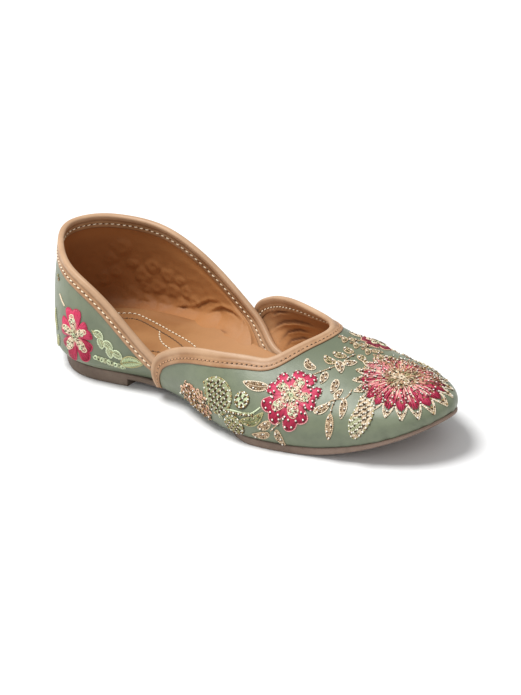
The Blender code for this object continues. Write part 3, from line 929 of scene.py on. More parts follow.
def binding_profile():
    """Rows of the binding: depth under the edge, a place round the roll, and the side."""
    depths = np.linspace(BINDING_DEPTH, 0, BAND_ROWS)
    rows = [(depth, 0.0, 1.0) for depth in depths]
    rows += [(0.0, turn, np.cos(turn)) for turn in np.linspace(0, np.pi, ROLL_ROWS)[1:-1]]
    return rows + [(depth, 0.0, -1.0) for depth in depths[::-1]]


def band_thickness(depth, valley=0.3):
    """The leather's thickness: thinner at its cut edge, with a dent along the seam.

    Valley is how sharply the roll is parted from the band.
    """
    edge = np.clip((BINDING_DEPTH - depth) / 1.1, 0, 1)
    full = SKIVED + (LEATHER - SKIVED) * np.sqrt(1 - (1 - edge) ** 2)
    swell = 0.3 * valley * (1 - smooth_step(depth, ROLL_WIDTH - 1.4, ROLL_WIDTH))
    parting = 0.24 * valley * dip(depth, ROLL_WIDTH, 0.4)
    return full - 0.20 * dip(depth, STITCH_DEPTH, 0.45) + swell - parting


def band_scale(edge, middle):
    """How wide the bands are at each station: the vamp's narrow towards the wings' feet."""
    if middle is not vamp_middle:
        return np.ones(len(edge))
    length = lengths(edge)
    from_foot = np.minimum(length, length[-1] - length)
    foot = FOOT_SCALE + (1 - FOOT_SCALE) * smooth_step(from_foot, *FOOT_WIDENS)
    start, before_throat = THROAT_NARROWS
    near_throat = smooth_step(from_foot, start, from_foot.max() - before_throat)
    return foot * (1 - (1 - THROAT_SCALE) * near_throat)


def binding(name, slot, edge_line, middle, valley):
    around, rise = edge_line
    edge, out, up, stretch = edge_frame(around, rise, middle)
    lining = WALL / 2 + GAP_SHOWN
    scale = band_scale(edge, middle)
    ripple = 0.06 * soft(edge, 5.0, 11.0) + 0.05 * soft(edge, 2.2, 5.0)
    outer, inner, worn, painted_highlight = [], [], [], []
    for depth, turn, share in binding_profile():
        thick = band_thickness(depth, valley)
        if depth > 0:
            there = walk(around, rise, -up, depth * stretch * scale)
            thick = thick + ripple * np.clip(depth - 0.4, 0, 1)
            outer.append(surface(*there, middle(around) + share * (lining + thick)))
            inner.append(surface(*there, middle(around) + share * lining))
        else:
            high, low = ROLL * np.sin(turn) ** 0.8, GAP_SHOWN * np.sin(turn)
            outer.append(edge + up * (high * stretch)[:, None] + out * share * (lining + thick))
            inner.append(edge + up * (low * stretch)[:, None] + out * share * lining)
        # Painted shade in the stitch groove and the valley under the roll, and along the band's cut
        # edge.
        seam = 0.22 * dip(depth, STITCH_DEPTH, 0.4) + 0.5 * valley * dip(depth, ROLL_WIDTH, 0.35)
        cut = 0.75 * smooth_step(depth, BINDING_DEPTH - 0.35, BINDING_DEPTH)
        worn.append(np.full(len(edge), max(seam, cut) if depth > 0 else 0.0))
        # A painted highlight over the top of the roll, fading down the band.
        painted_highlight.append(np.full(len(edge), 1 - smooth_step(depth, 0.4, 2.2)))
    outer, inner = np.stack(outer, 1), np.stack(inner, 1)
    if middle is vamp_middle:
        outer, inner = tucked_under(outer), tucked_under(inner)
    points, faces, _ = shell(outer, inner)
    worn, painted_highlight = np.stack(worn, 1).ravel(), np.stack(painted_highlight, 1).ravel()
    # The inner face, against the wall, takes painted shade all over and no highlight.
    painted = {
        "worn": np.concatenate([worn, worn * 0 + 0.6]),
        "painted_highlight": np.concatenate([painted_highlight, painted_highlight * 0]),
    }
    made = solid(name, slot, points, faces, [LEATHER_BINDING], sharp=55, **painted)
    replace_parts(made, slot)


def seam_line(edge_line, middle, side):
    """Points and normals along the seam on a binding's band, side 1 outside and -1 inside."""
    edge, _, up, stretch = edge_frame(*edge_line, middle)
    there = walk(*edge_line, -up, STITCH_DEPTH * stretch * band_scale(edge, middle))
    height = WALL / 2 + GAP_SHOWN + band_thickness(STITCH_DEPTH) + 0.02
    points = surface(*there, middle(edge_line[0]) + side * height)
    if middle is vamp_middle:
        points = tucked_under(points)
    return points, facing(*there) * side


# ---------------------------------------------------------------- threads and beads


def ball(rings, sides):
    """A small sphere's points and faces."""
    points = [(0, 0, 1.0)]
    for i in range(1, rings):
        tilt = np.pi * i / rings
        for j in range(sides):
            turn = 2 * np.pi * j / sides
            points.append((np.sin(tilt) * np.cos(turn), np.sin(tilt) * np.sin(turn), np.cos(tilt)))
    points.append((0, 0, -1.0))
    faces = []
    for j in range(sides):
        k = (j + 1) % sides
        faces.append((0, 1 + j, 1 + k))
        for i in range(rings - 2):
            a, b = 1 + i * sides + j, 1 + i * sides + k
            faces += [(a, a + sides, b + sides), (a, b + sides, b)]
        base = 1 + (rings - 2) * sides
        faces.append((base + j, len(points) - 1, base + k))
    return np.array(points), np.array(faces)


# A bead's ball, and a coarser one for flat dark patches of painted shadow.
BALL, SHADE_BALL = ball(4, 7), ball(3, 6)
STRAND_FLAT = 0.8  # how much strands are flattened towards the cloth
SHADE_FLAT = 0.5  # beads flatter than this are only flat dark patches: painted shadows under other beads, and needle holes


class Threads:
    """Many small tubes and beads that make one mesh. Kinds are the finishes, in order."""

    def __init__(self, kinds):
        self.kinds, self.points, self.faces, self.which, self.tones = kinds, [], [], [], []
        self.count = 0

    def add(self, points, faces, kind, tones):
        self.points.append(points)
        self.faces.append(faces + self.count)
        self.which += [self.kinds.index(kind)] * len(faces)
        self.tones.append(np.broadcast_to(tones, len(points)))
        self.count += len(points)

    def tube(self, path, normals, radius, kind, tone, sides=5, taper=0.45):
        """A strand along a path, a little flattened towards the cloth."""
        count = len(path)
        ahead = np.gradient(path, axis=0)
        ahead /= np.linalg.norm(ahead, axis=1, keepdims=True) + 1e-12
        side = unit(np.cross(ahead, normals) + 1e-12)
        up = np.cross(side, ahead)
        size = np.broadcast_to(np.asarray(radius, float), count).copy()
        size[[0, -1]] *= taper
        turn = (np.arange(sides) * 2 * np.pi / sides)[None, :, None]
        ring = side[:, None] * np.cos(turn) + up[:, None] * STRAND_FLAT * np.sin(turn)
        points = (path[:, None] + ring * size[:, None, None]).reshape(-1, 3)
        i, j = np.meshgrid(np.arange(count - 1), np.arange(sides), indexing="ij")
        a, b = (i * sides + j).ravel(), (i * sides + (j + 1) % sides).ravel()
        quads = np.stack([a, b, b + sides, a + sides], 1)
        triangles = np.concatenate([quads[:, [0, 1, 2]], quads[:, [0, 2, 3]]])
        fan = np.arange(1, sides - 1)
        start = np.stack([fan * 0, fan + 1, fan], 1)
        end = np.stack([fan * 0, fan, fan + 1], 1) + (count - 1) * sides
        tones = np.repeat(np.broadcast_to(np.asarray(tone, float), count), sides)
        self.add(points, np.concatenate([triangles, start, end]), kind, tones)

    def bead(self, centre, normal, radius, kind, tone, flat=0.85):
        """A small round bead, flattened towards the cloth."""
        side = unit(np.cross(normal, (0.3, 0.5, 0.81)))
        axes = np.stack([side, np.cross(normal, side), normal * flat])
        # Flatter ones are the flat dark patches of painted shadow under beads and in needle holes.
        points, faces = SHADE_BALL if flat < SHADE_FLAT else BALL
        self.add(centre + points * radius @ axes, faces, kind, tone)

    def build(self, name, slot):
        points, faces = np.concatenate(self.points), np.concatenate(self.faces).tolist()
        finishes, tones = [SILKS[kind] for kind in self.kinds], np.concatenate(self.tones)
        return piece(name, slot, points, faces, finishes, self.which, tone=tones)


STITCH_SLANT = 0.22
STITCH_DIP = np.array([-0.7, 0.5, 0.8, 0.5, -0.7])  # in the thread's radii, along a stitch


def run_of_stitches(threads, line, kind, pitch, share, radius, hole, tone, part=(0.0, 1.0)):
    """Short dashes along part of a line, each dipping at both ends, with needle holes between."""
    points, normals = line
    length = lengths(points)
    count = int(round(length[-1] / pitch))
    starts, step = np.arange(count) * length[-1] / count, length[-1] / count
    rng = np.random.default_rng(len(points))
    first, final = part
    for where in starts[(starts >= first * length[-1]) & (starts <= final * length[-1])]:
        steps = where + step * ((1 - share) / 2 + share * np.linspace(0, 1, 5))
        path, out = line_at(points, length, steps), unit(line_at(normals, length, steps))
        path = path + out * (radius * STITCH_DIP)[:, None]
        slant = (STITCH_SLANT * np.linspace(-1, 1, 5))[:, None]
        path = path + unit(np.cross(out, path[-1] - path[0])) * slant
        threads.tube(path, out, radius, kind, np.clip(tone + rng.normal(0, 0.15), 0, 1), 6)
        # A needle hole: a flat dark patch of painted shade where the thread goes in.
        middle = line_at(points, length, where + step * 0.01)
        up = unit(line_at(normals, length, where))
        threads.bead(middle, up, hole, "shade", rng.uniform(0, 0.4), 0.3)


def stitches():
    """The seams that hold the bindings down."""
    quarter = Threads(["cream", "shade"])
    for side in (1, -1):
        line = seam_line(quarter_edge(), quarter_middle, side)
        run_of_stitches(quarter, line, "cream", 3.25, 0.60, 0.36, 0.5, 0.9)
    quarter.build("quarter_stitches", "quarter_binding")
    vamp = Threads(["cream", "tan_thread", "shade"])
    outer, inner = [seam_line(mirrored(*vamp_edge()), vamp_middle, side) for side in (1, -1)]
    run_of_stitches(vamp, outer, "tan_thread", 2.6, 0.56, 0.27, 0.60, 0.95, (0.0, 0.72))
    run_of_stitches(vamp, outer, "tan_thread", 2.6, 0.60, 0.32, 0.42, 1.0, (0.72, 1.0))
    run_of_stitches(vamp, inner, "cream", 3.1, 0.62, 0.34, 0.45, 0.85)
    vamp.build("vamp_stitches", "vamp_binding")


# ---------------------------------------------------------------- sole and insole

EDGE_ROUND = 0.7
RIB_PITCH, RIB_HEIGHT = 3.4, 0.22
RIBS_SPAN = (6, 12, 228, 240)
BREAST_STEPS = BREAST + np.array([-0.9, -0.45, -0.2, 0.2, 0.5])
CLOSER_AT_ENDS = (1 - np.cos(np.linspace(0, np.pi, SOLE_STATIONS))) / 2


def sole_profile():
    """Rows down the sole's edge: a setback, a share of the height, and millimetres more."""
    turns = np.linspace(0, np.pi / 2, 4)
    rounded = [(EDGE_ROUND * (1 - np.sin(turn)), EDGE_ROUND * (1 - np.cos(turn))) for turn in turns]
    rows = [(setback, 1.0, -drop) for setback, drop in rounded]
    rows += [(0.0, share, 0.0) for share in (0.72, 0.6, 0.5, 0.4, 0.28)]
    return rows + [(setback, 0.0, drop) for setback, drop in rounded[::-1]]


def outsole(finish):
    """A moulded unit sole: heel, breast, arch and a low forepart, with rounded edges."""
    at_breast = np.interp(BREAST_STEPS, along_at(FINE), FINE)
    shares = np.sort(np.concatenate([CLOSER_AT_ENDS, at_breast]))
    rows = []
    for hand, around in enumerate((2 - shares, shares)):
        along, _ = outline(around)
        low, high = sole_bottom(along), sole_top(along)
        side = []
        for inset, share, lift in sole_profile():
            up = low + (high - low) * share + lift
            side.append(set_back(around, inset + waist_inset(along, hand), up))
        rows.append(side)
    outer, inner = rows
    across = np.linspace(0, 1, 15)[1:-1]
    top = [outer[0] + (inner[0] - outer[0]) * t for t in across]
    tread = [inner[-1] + (outer[-1] - inner[-1]) * t for t in across]
    for line in tread:
        rib = np.sin(line[:, 0] * 2 * np.pi / RIB_PITCH)
        line[:, 2] += RIB_HEIGHT * (1 + rib) * over_stretch(line[:, 0], *RIBS_SPAN)
    points = np.stack(outer[::-1] + top + inner + tread, 1)
    stations, count = points.shape[:2]
    index = np.arange(stations * count).reshape(stations, count)
    faces = []
    for j in range(count):
        faces += strip_faces(index[:, j], index[:, (j + 1) % count])
    height = points[..., 2] - sole_bottom(points[..., 0])
    # Painted shade along the bottom edge by the floor, and random darker blotches.
    worn = 0.55 * smooth_step(height, 0.9, 0.0) + 0.25 * (soft(points, 7.0) > 0.45)
    worn, points = np.clip(worn, 0, 1).ravel(), points.reshape(-1, 3)
    made = solid("sole_unit", "outsole", points, faces, [finish], sharp=38, worn=worn)
    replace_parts(made, "outsole")


def insole_places():
    """The insole's outer and inner edges."""
    lines = []
    for around in (2 - CLOSER_AT_ENDS, CLOSER_AT_ENDS):
        foot, (nx, ny) = last(around, np.zeros_like(around)), outward(around)
        past_quarter = smooth_step(foot[:, 0], *INSOLE_WIDENS)
        setback = INSOLE_SETBACK - (VAMP_OUT - INSOLE_MARGIN) * past_quarter
        x, y = foot[:, 0] - nx * setback, foot[:, 1] - ny * setback
        lines.append(np.stack([x, y, sole_top(x)], -1))
    return lines


RIM_RISE = 0.9  # how far the insole's rim curls up to meet the lining


def insole(finish):
    outer, inner = insole_places()
    top, bottom, worn = [], [], []
    half = np.linalg.norm(inner - outer, axis=1) / 2
    for t in (1 - np.cos(np.linspace(0, np.pi, 49))) / 2:
        line = outer + (inner - outer) * t
        edge = np.minimum(t, 1 - t) * 2 * half
        rolled = INSOLE_THICKNESS * np.sqrt(1 - (1 - np.clip(edge / 1.6, 0, 1)) ** 2)
        dish = 0.5 * smooth_step(edge, 3, 16) - RIM_RISE * (1 - smooth_step(edge, 0.5, 8.5))
        height = 0.02 + rolled - dish * (rolled > 0)
        top.append(line + np.stack([0 * half, 0 * half, height], 1))
        bottom.append(line + (0, 0, 0.01))
        # Painted shade round the rim, where the lining comes down on to it.
        worn.append(0.8 * smooth_step(edge, 1.4, 0.2))
    top, bottom, worn = np.stack(top, 1), np.stack(bottom, 1), np.stack(worn, 1).ravel()
    thick = np.clip((top[..., 2] - bottom[..., 2]) / 1.5, 0, 1)
    top[..., 2] += 0.10 * soft(top, 9.0, 2.0) * thick
    points, faces, _ = shell(top, bottom)
    worn = np.concatenate([worn, worn * 0])
    made = solid("insole_sock", "insole", points, faces, [finish], worn=worn)
    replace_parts(made, "insole")
    return made


ROUND_HEEL = [(9.5, 8.0), (7.5, 0.0), (9.5, -8.0)]
SOCK_SEAMS = [
    # thread, how far inside the heel sock's rim, and the route: half of it, on the inner side,
    # for a seam that goes round the heel, and all of it for the one across
    ("cream", 0.0, [
        (16.2, 14.4), (23.0, 18.6), (33.3, 18.3), (46.4, 15.7), (58.6, 12.7), (68.5, 10.4),
        (77.5, 7.2), (84.0, 2.6), (86.0, -1.5),
    ]),
    ("shade", 2.8, [
        (20.0, 11.0), (27.3, 14.4), (37.6, 13.7), (48.4, 11.0), (59.1, 8.1), (68.2, 5.0),
        (75.0, 1.4), (78.0, -1.5),
    ]),
    ("cream", None, [(49.0, 11.0), (52.9, 6.4), (59.5, 0.9), (68.5, -2.6), (75.0, -4.0)]),
]


def insole_stitching(insole_piece):
    """Two rows round the heel sock and one across it."""
    mesh = insole_piece.data
    corners = [Vector(corner.co) / MM - Vector(SHIFT) for corner in mesh.vertices]
    tree = BVHTree.FromPolygons(corners, [tuple(face.vertices) for face in mesh.polygons])
    threads = Threads(["cream", "shade"])
    for kind, inside, route in SOCK_SEAMS:
        if inside is not None:
            back = [(x + inside, y) for x, y in ROUND_HEEL]
            other = [(x, -y - 3.0) for x, y in route]
            route = route[::-1] + back + other[:-1]
        flat = smooth_line(route, pitch=0.8)
        spots = [tree.ray_cast(Vector((x, y, 40)), Vector((0, 0, -1))) for x, y in flat]
        spots = [(hit, out if out.z > 0 else -out) for hit, out, _, _ in spots if hit is not None]
        line = [np.array(part) for part in zip(*spots)]
        run_of_stitches(threads, line, kind, 3.0, 0.62, 0.40, 0.5, 0.9)
    threads.build("insole_stitches", "insole")


# ---------------------------------------------------------------- studio

CAMERA_TURN, CAMERA_TILT, CAMERA_ROLL = np.radians([41.05, 25.58, -3.02])
CAMERA_AWAY, CAMERA_LENS = 1408.0, 142.2
CAMERA_TARGET = (125, 0, 25)
CAMERA_SLIDE = (3.27, -0.76)  # the target's place right and up from there, as the camera sees it
FLOOR_REACH = 9.0
FLOOR_GREY = (0.86, 0.86, 0.86)
WORLD_LIGHT = 0.5
LAMPS = [
    # name, place, width, power
    ("key_light", (-0.55, -0.45, 1.9), 0.9, 40),
    ("front_light", (0.9, -1.6, 1.2), 1.4, 6),
]


def studio():
    data = bpy.data.meshes.new("studio_floor")
    reach = FLOOR_REACH
    corners = [(-reach, -reach, 0), (reach, -reach, 0), (reach, reach, 0), (-reach, reach, 0)]
    data.from_pydata(corners, [], [(0, 1, 2, 3)])
    paper = Finish("paper").set(Base_Color=FLOOR_GREY, Roughness=0.9, Specular_IOR_Level=0.1)
    data.materials.append(paper.material)
    put("studio_floor", data)

    world = bpy.data.worlds.new("studio_light")
    world.use_nodes = True
    sky = world.node_tree.nodes["Background"].inputs
    sky["Color"].default_value, sky["Strength"].default_value = (1, 1, 1, 1), WORLD_LIGHT
    bpy.context.scene.world = world
    bpy.context.scene.view_settings.view_transform = "Standard"
    for name, place, wide, power in LAMPS:
        lamp = bpy.data.lights.new(name, "AREA")
        lamp.shape, lamp.size, lamp.energy = "DISK", wide, power
        holder = put(name, lamp)
        holder.location = place
        aim = Vector((0, 0, 0.02)) - Vector(place)
        holder.rotation_euler = aim.to_track_quat("-Z", "Y").to_euler()


def camera():
    """Looks at the outer side from the toe's end, a little from above."""
    turn, tilt, roll = CAMERA_TURN, CAMERA_TILT, CAMERA_ROLL
    back = np.array([np.sin(turn) * np.cos(tilt), -np.cos(turn) * np.cos(tilt), np.sin(tilt)])
    right = np.array([np.cos(turn), np.sin(turn), 0])
    up = np.cross(back, right)
    level = right * np.cos(roll) + up * np.sin(roll)
    upright = up * np.cos(roll) - right * np.sin(roll)
    slide = CAMERA_SLIDE
    target = np.array(CAMERA_TARGET) + SHIFT + slide[0] * level + slide[1] * upright
    data = bpy.data.cameras.new("camera")
    data.lens, data.clip_start, data.clip_end = CAMERA_LENS, 0.05, 60
    holder = put("camera", data)
    matrix = np.eye(4)
    matrix[:3, :3] = np.stack([level, upright, back], 1)
    matrix[:3, 3] = (target + back * CAMERA_AWAY) * MM
    holder.matrix_world = Matrix(matrix.tolist())
    bpy.context.scene.camera = holder


# ---------------------------------------------------------------- cloth maps


def skin_of(points):
    """The outside of a wall as a tree that finds the nearest point."""
    faces = grid_faces(*points.shape[:2])
    return BVHTree.FromPolygons(points.reshape(-1, 3).tolist(), faces)


class Patch:
    """A flat map of the cloth round a point, in millimetres.

    U runs towards the toe, and v to its left as seen from outside.
    """

    TURNS = 48
    PACE = 0.7

    def __init__(self, skin, centre, reach):
        spot, out, _, _ = skin.find_nearest(Vector(centre))
        core = Vector((min(max(spot[0], 40), 210), 0, 25))  # a point well inside the shoe
        out = np.array(out) * (1 if out.dot(spot - core) > 0 else -1)
        spot = np.array(spot)
        ahead = unit(np.array([1.0, 0, 0]) - out[0] * out)
        left = np.cross(out, ahead)
        steps = int(np.ceil(reach / self.PACE)) + 2
        self.points = np.zeros((self.TURNS, steps, 3))
        self.normals = np.zeros((self.TURNS, steps, 3))
        for i, angle in enumerate(np.arange(self.TURNS) * 2 * np.pi / self.TURNS):
            here, normal = spot, out
            heading = ahead * np.cos(angle) + left * np.sin(angle)
            for j in range(steps):
                self.points[i, j], self.normals[i, j] = here, normal
                there, found, _, _ = skin.find_nearest(Vector(here + heading * self.PACE))
                here, found = np.array(there), np.array(found)
                found = found if found @ normal > 0 else -found
                normal = unit(normal * 0.5 + found * 0.5)
                heading = unit(heading - (heading @ found) * found)

    def read(self, table, u, v):
        """Reads a table between its turns and paces."""
        angle = np.mod(np.arctan2(v, u), 2 * np.pi) * self.TURNS / (2 * np.pi)
        far = np.clip(np.hypot(u, v) / self.PACE, 0, table.shape[1] - 1.001)
        i, j = np.floor(angle).astype(int), np.floor(far).astype(int)
        a, b = (angle - i)[..., None], (far - j)[..., None]
        i, k = i % self.TURNS, (i + 1) % self.TURNS
        near = table[i, j] * (1 - a) + table[k, j] * a
        beyond = table[i, j + 1] * (1 - a) + table[k, j + 1] * a
        return near * (1 - b) + beyond * b

    def at(self, u, v, lift):
        """Points at flat places, lifted off the cloth, and the directions out of it."""
        u, v = np.asarray(u, float), np.asarray(v, float)
        out = unit(self.read(self.normals, u, v))
        return self.read(self.points, u, v) + out * np.asarray(lift, float)[..., None], out


# ---------------------------------------------------------------- needlework

GOLDEN_TURN = 2.399963  # from each stitch to the next, for an even spread round a centre
CORD_PITCH = 0.95
LEAF_NARROW = 0.88
STRAW_GOLD = ("straw", "gold")
FIVE = np.linspace(0, 1, 5)
HUMP = np.sin(np.pi * FIVE)


def ray(turn):
    return np.stack([np.cos(turn), np.sin(turn)], -1)


def leftward(way):
    return np.stack([-way[..., 1], way[..., 0]], -1)


def smooth_line(places, count=None, pitch=0.5):
    """A smooth line through flat places, cut evenly."""
    places = np.asarray(places, float)
    if len(places) > 2:
        chord = lengths(places)
        fine = np.linspace(0, chord[-1], 12 * len(places))
        places = np.stack([Spline(chord, places[:, k])(fine) for k in (0, 1)], 1)
    length = lengths(places)
    count = count or max(3, int(round(length[-1] / pitch)) + 1)
    return line_at(places, length, np.linspace(0, length[-1], count))


def bent_line(start, end, bend, pitch):
    """A line that bows to its left by a share of its length."""
    start, end = np.asarray(start, float), np.asarray(end, float)
    return smooth_line([start, (start + end) / 2 + leftward(end - start) * bend, end], pitch=pitch)


def oval(middle, long, wide, turn, angle):
    """Places on an oval that is turned about its middle."""
    u, v = long * np.cos(angle), wide * np.sin(angle)
    c, s = np.cos(turn), np.sin(turn)
    return np.stack([middle[0] + u * c - v * s, middle[1] + u * s + v * c], -1)


class Needle:
    """Sews on one patch of cloth. Flat places are the patch's own; flip mirrors them."""

    def __init__(self, patch, threads, seed, flip):
        self.patch, self.threads, self.flip = patch, threads, flip
        self.rng = np.random.default_rng(seed)

    def lay(self, path, radius, kind, tone, lift, **shape):
        points, out = self.patch.at(path[:, 0], path[:, 1] * self.flip, lift)
        self.threads.tube(points, out, radius, kind, tone, **shape)

    def cord(self, path, radius, kind, tone=0.5, lift=0.25, twist=0.2):
        """A twisted cord couched along a path."""
        line = smooth_line(path, pitch=CORD_PITCH / 3.0)
        wave = np.sin(np.arange(len(line)) * 2 * np.pi / 3 + self.rng.uniform(0, 6))
        tone = np.clip(tone + 0.38 * wave, 0, 1)
        self.lay(line, radius * (1 + twist * wave), kind, tone, lift, taper=0.7)

    def bead(self, place, radius, kind, tone, lift):
        """A bead by itself."""
        point, out = self.patch.at(place[0], place[1] * self.flip, lift)
        self.threads.bead(point + out * radius * 0.25, out, radius, kind, tone)

    def shadowed_bead(self, place, radius, kind, tone, lift):
        """A bead with a painted shadow below it, a flat dark patch on the cloth set off a little
        below it.
        """
        u, v = place[0], place[1]
        _, out = self.patch.at(u, v * self.flip, lift)
        below, _ = self.patch.at(u + 0.25, (v - 0.35) * self.flip, lift)
        shade = self.rng.uniform(0, 0.5)
        self.threads.bead(below - out * radius * 0.45, out, radius * 1.45, "shade", shade, 0.35)
        self.bead(place, radius, kind, tone, lift)

    def satin(self, near, far, kind, tones, radius=0.3, pad=0.55, lift=0.12, loose=0.08):
        """Strands side by side between two lines of places, raised in their middle."""
        bow = np.sin(np.pi * np.linspace(0.06, 0.94, 5))
        for i, (a, b) in enumerate(zip(near, far)):
            round_off = 0.45 + 0.55 * np.sin(np.pi * ((i + 0.5) / len(near)))
            a = a + self.rng.normal(0, loose, 2)
            b = b + self.rng.normal(0, loose, 2)
            shade = self.rng.normal(0, 0.10)
            tone = np.clip(np.linspace(*tones, 5) + shade, 0, 1)
            thick = radius * self.rng.uniform(0.85, 1.1)
            height = lift + pad * bow * round_off
            self.lay(a + (b - a) * FIVE[:, None], thick, kind, tone, height, taper=0.6, sides=4)

    def loop(self, middle, long, wide, turn, kind, radius, tone, lift):
        """A small oval of cord."""
        round_it = np.linspace(0, 2 * np.pi, 13)
        self.cord(oval(middle, long, wide, turn, round_it), radius, kind, tone, lift)

    def knot(self, middle, radius, kind, tone=0.5, lift=0.35, strands=3):
        """A little heap of curled thread."""
        for _ in range(strands):
            sweep = self.rng.uniform(0, 2 * np.pi) + np.linspace(0, 4.2, 7)
            shrink = radius * np.linspace(1, 0.35, 7)
            path = np.array(middle) + ray(sweep) * shrink[:, None]
            shade = np.clip(tone + self.rng.normal(0, 0.18), 0, 1)
            self.lay(path, 0.3, kind, shade, lift + np.linspace(0, 0.35, 7), sides=4)

    def filled_oval(self, middle, long, wide, turn, lift):
        """A small oval of straw knots with dark specks between them."""
        for k in range(13):
            far = np.sqrt((k + 0.5) / 13)
            spot = oval(middle, long * far, wide * far, turn, k * GOLDEN_TURN)
            kind = "straw" if k % 5 else "pale_green"
            self.knot(spot, 0.72, kind, self.rng.uniform(0.5, 1.0), lift + 0.15)
            if k % 2:
                self.bead(spot + self.rng.normal(0, 0.35, 2), 0.4, "shade", 0.3, lift + 0.45)
        self.loop(middle, long * 1.1, wide * 1.1, turn, "straw", 0.22, 0.5, lift)

    def leaf(self, base, tip, wide, kinds=STRAW_GOLD, bend=0.08, beads=3, tone=0.3, bead="pearl"):
        """A leaf in fishbone stitch with a corded outline and beads along it."""
        rib = bent_line(base, tip, bend, 0.55)
        left = unit(leftward(np.gradient(rib, axis=0)))
        share, count = np.linspace(0, 1, len(rib)), np.arange(len(rib))
        last_one = len(rib) - 1
        half = wide * LEAF_NARROW / 2 * np.sin(np.pi * share**0.8) ** 0.75
        reach = np.clip(share + 0.14, 0, 1) * last_one
        for side in (1, -1):
            edge = rib + left * half[:, None] * side
            far = rib + (line_at(edge, count, reach) - rib) * 0.94
            self.satin(rib[1:-1], far[1:-1], kinds[1], (tone - 0.25, tone), 0.27, 0.4, loose=0.14)
            self.cord(edge, 0.33, kinds[0], 0.72, 0.3, twist=0.32)
            for k in range(2 * beads):
                at = (k + 0.9) / (2 * beads + 0.8) * last_one
                spot = line_at(edge * 0.6 + rib * 0.4, count, at)
                self.bead(spot, 0.36, "shade" if k % 2 else "straw", 0.85 - 0.8 * (k % 2), 0.62)
        self.cord(rib[1:-1], 0.24, kinds[0], 0.35, 0.5, twist=0.3)
        for k in range(beads):
            at = (k + 0.6) / beads * last_one
            off = (0.55 if k % 2 else -0.55) * np.interp(at, count, half)
            self.shadowed_bead(line_at(rib + left * off, count, at), 0.5, bead, 0.75, 0.7)

    def stem(self, path, kind="gold", radius=0.3, beads=0, tone=0.5):
        self.cord(path, radius, kind, tone)
        line = smooth_line(path, count=2 * max(beads, 1) + 1)
        for k in range(beads):
            self.shadowed_bead(line[2 * k + 1], 0.45, "pearl", 0.6, 0.5)



# ---------------------------------------------------------------- motifs


def lobed_rims(tips, lobe, notch):
    """The rims of petals with two round lobes each, from the lobes' tips."""
    turns = [np.sort(np.unwrap([np.arctan2(v, u) for u, v in pair])) for pair in tips]
    middles = np.array([pair.mean() for pair in turns])
    rims = []
    for k, pair in enumerate(tips):
        gaps = np.mod(np.delete(middles, k) - middles[k] + np.pi, 2 * np.pi) - np.pi
        start = middles[k] + gaps[gaps < 0].max() / 2
        end = middles[k] + gaps[gaps > 0].min() / 2
        turn = np.linspace(start, end, 240)
        way = ray(turn)
        far = np.zeros(len(turn))
        for tip in np.array(pair, float):
            centre = tip * (1 - lobe / np.linalg.norm(tip))
            along = way @ centre
            inside = lobe**2 - (centre @ centre - along**2)
            reach = along + np.sqrt(np.clip(inside, 0, None))
            far = np.maximum(far, np.where(inside > 0, reach, 0))
        far = np.maximum(far, 0.62 * np.mean([np.linalg.norm(tip) for tip in pair]))
        for side in (start, end):
            far *= 1 - notch * dip(turn, side, 0.10)
        rims.append(smooth_line((way * far[:, None])[::8], pitch=0.44))
    return rims


PETAL_PEARLS = [
    # share of the way from the centre, lift, and places along the rim
    (0.9, 0.9, (0.10, 0.27, 0.42, 0.58, 0.74, 0.9)),
    (0.68, 1.3, (0.2, 0.36, 0.64, 0.8)),
    (0.44, 1.3, (0.5, 0.95)),
]


def lobed_blossom(needle, tips, lobe, pearls, rim_kind, heart, silk="crimson"):
    """A five-petalled flower: satin petals, corded rims, straw ovals and pearls."""
    rng = needle.rng
    for line, pair in zip(lobed_rims(tips, lobe, 0.3 if pearls else 0.5), np.array(tips)):
        lit = line[:, 1].mean() > 0
        deep = 0.12 if lit else -0.12
        needle.satin(line * 0.30, line, silk, (0.60 + deep, 0.40 + 2.4 * deep), 0.30, 0.8)
        outer = line * rng.uniform(0.45, 0.62, (len(line), 1))
        inner_silk = "blush" if silk == "crimson" else silk
        needle.satin((line * 0.2)[::2], outer[::2], inner_silk, (0.35, 0.05), 0.24, 0.5, 0.55)
        for side in line[[0, -1]]:
            needle.cord([side * 0.5, side * 0.97], 0.3, "wine", 0.15, 0.4)
        if pearls and lit:
            for j in range(0, len(line), 3):
                needle.bead(line[j] * 1.01, 0.4, "pearl" if j % 2 else "shade", 0.6, 0.3)
        else:
            needle.cord(line, 0.3, rim_kind, 0.5 - 2 * deep, 0.2)
        middle = (pair[0] + pair[1]) / 2
        heading, far = np.arctan2(middle[1], middle[0]), np.linalg.norm(middle)
        needle.filled_oval(middle * 0.47, far * 0.24, far * 0.155, heading, 1.05)
        for share, lift, places in PETAL_PEARLS if pearls else ():
            for at in places:
                place = line[int(at * (len(line) - 1))] * share
                needle.shadowed_bead(place, 0.53, "pearl", 0.7, lift)
    for k in range(40):
        start, far = rng.uniform(0.3, 1.6), heart * rng.uniform(0.9, 1.7)
        path = ray(k * GOLDEN_TURN) * np.linspace(start, far, 4)[:, None]
        kind = ("straw", "gold", "pale_green", "straw")[k % 4]
        needle.lay(path, 0.27, kind, rng.uniform(0.1, 0.9), [1.4, 1.55, 1.4, 1.0])
    needle.knot((0, 0), 1.2, "pale_green", 0.35, 1.6)
    for turn in np.linspace(0.4, 2 * np.pi + 0.4, 6, endpoint=False):
        if pearls:
            needle.shadowed_bead(ray(turn) * heart * 1.05, 0.52, "pearl", 0.8, 1.6)
        needle.bead(ray(turn) * heart * 0.7 + 0.4, 0.4, "shade", 0.3, 1.75)


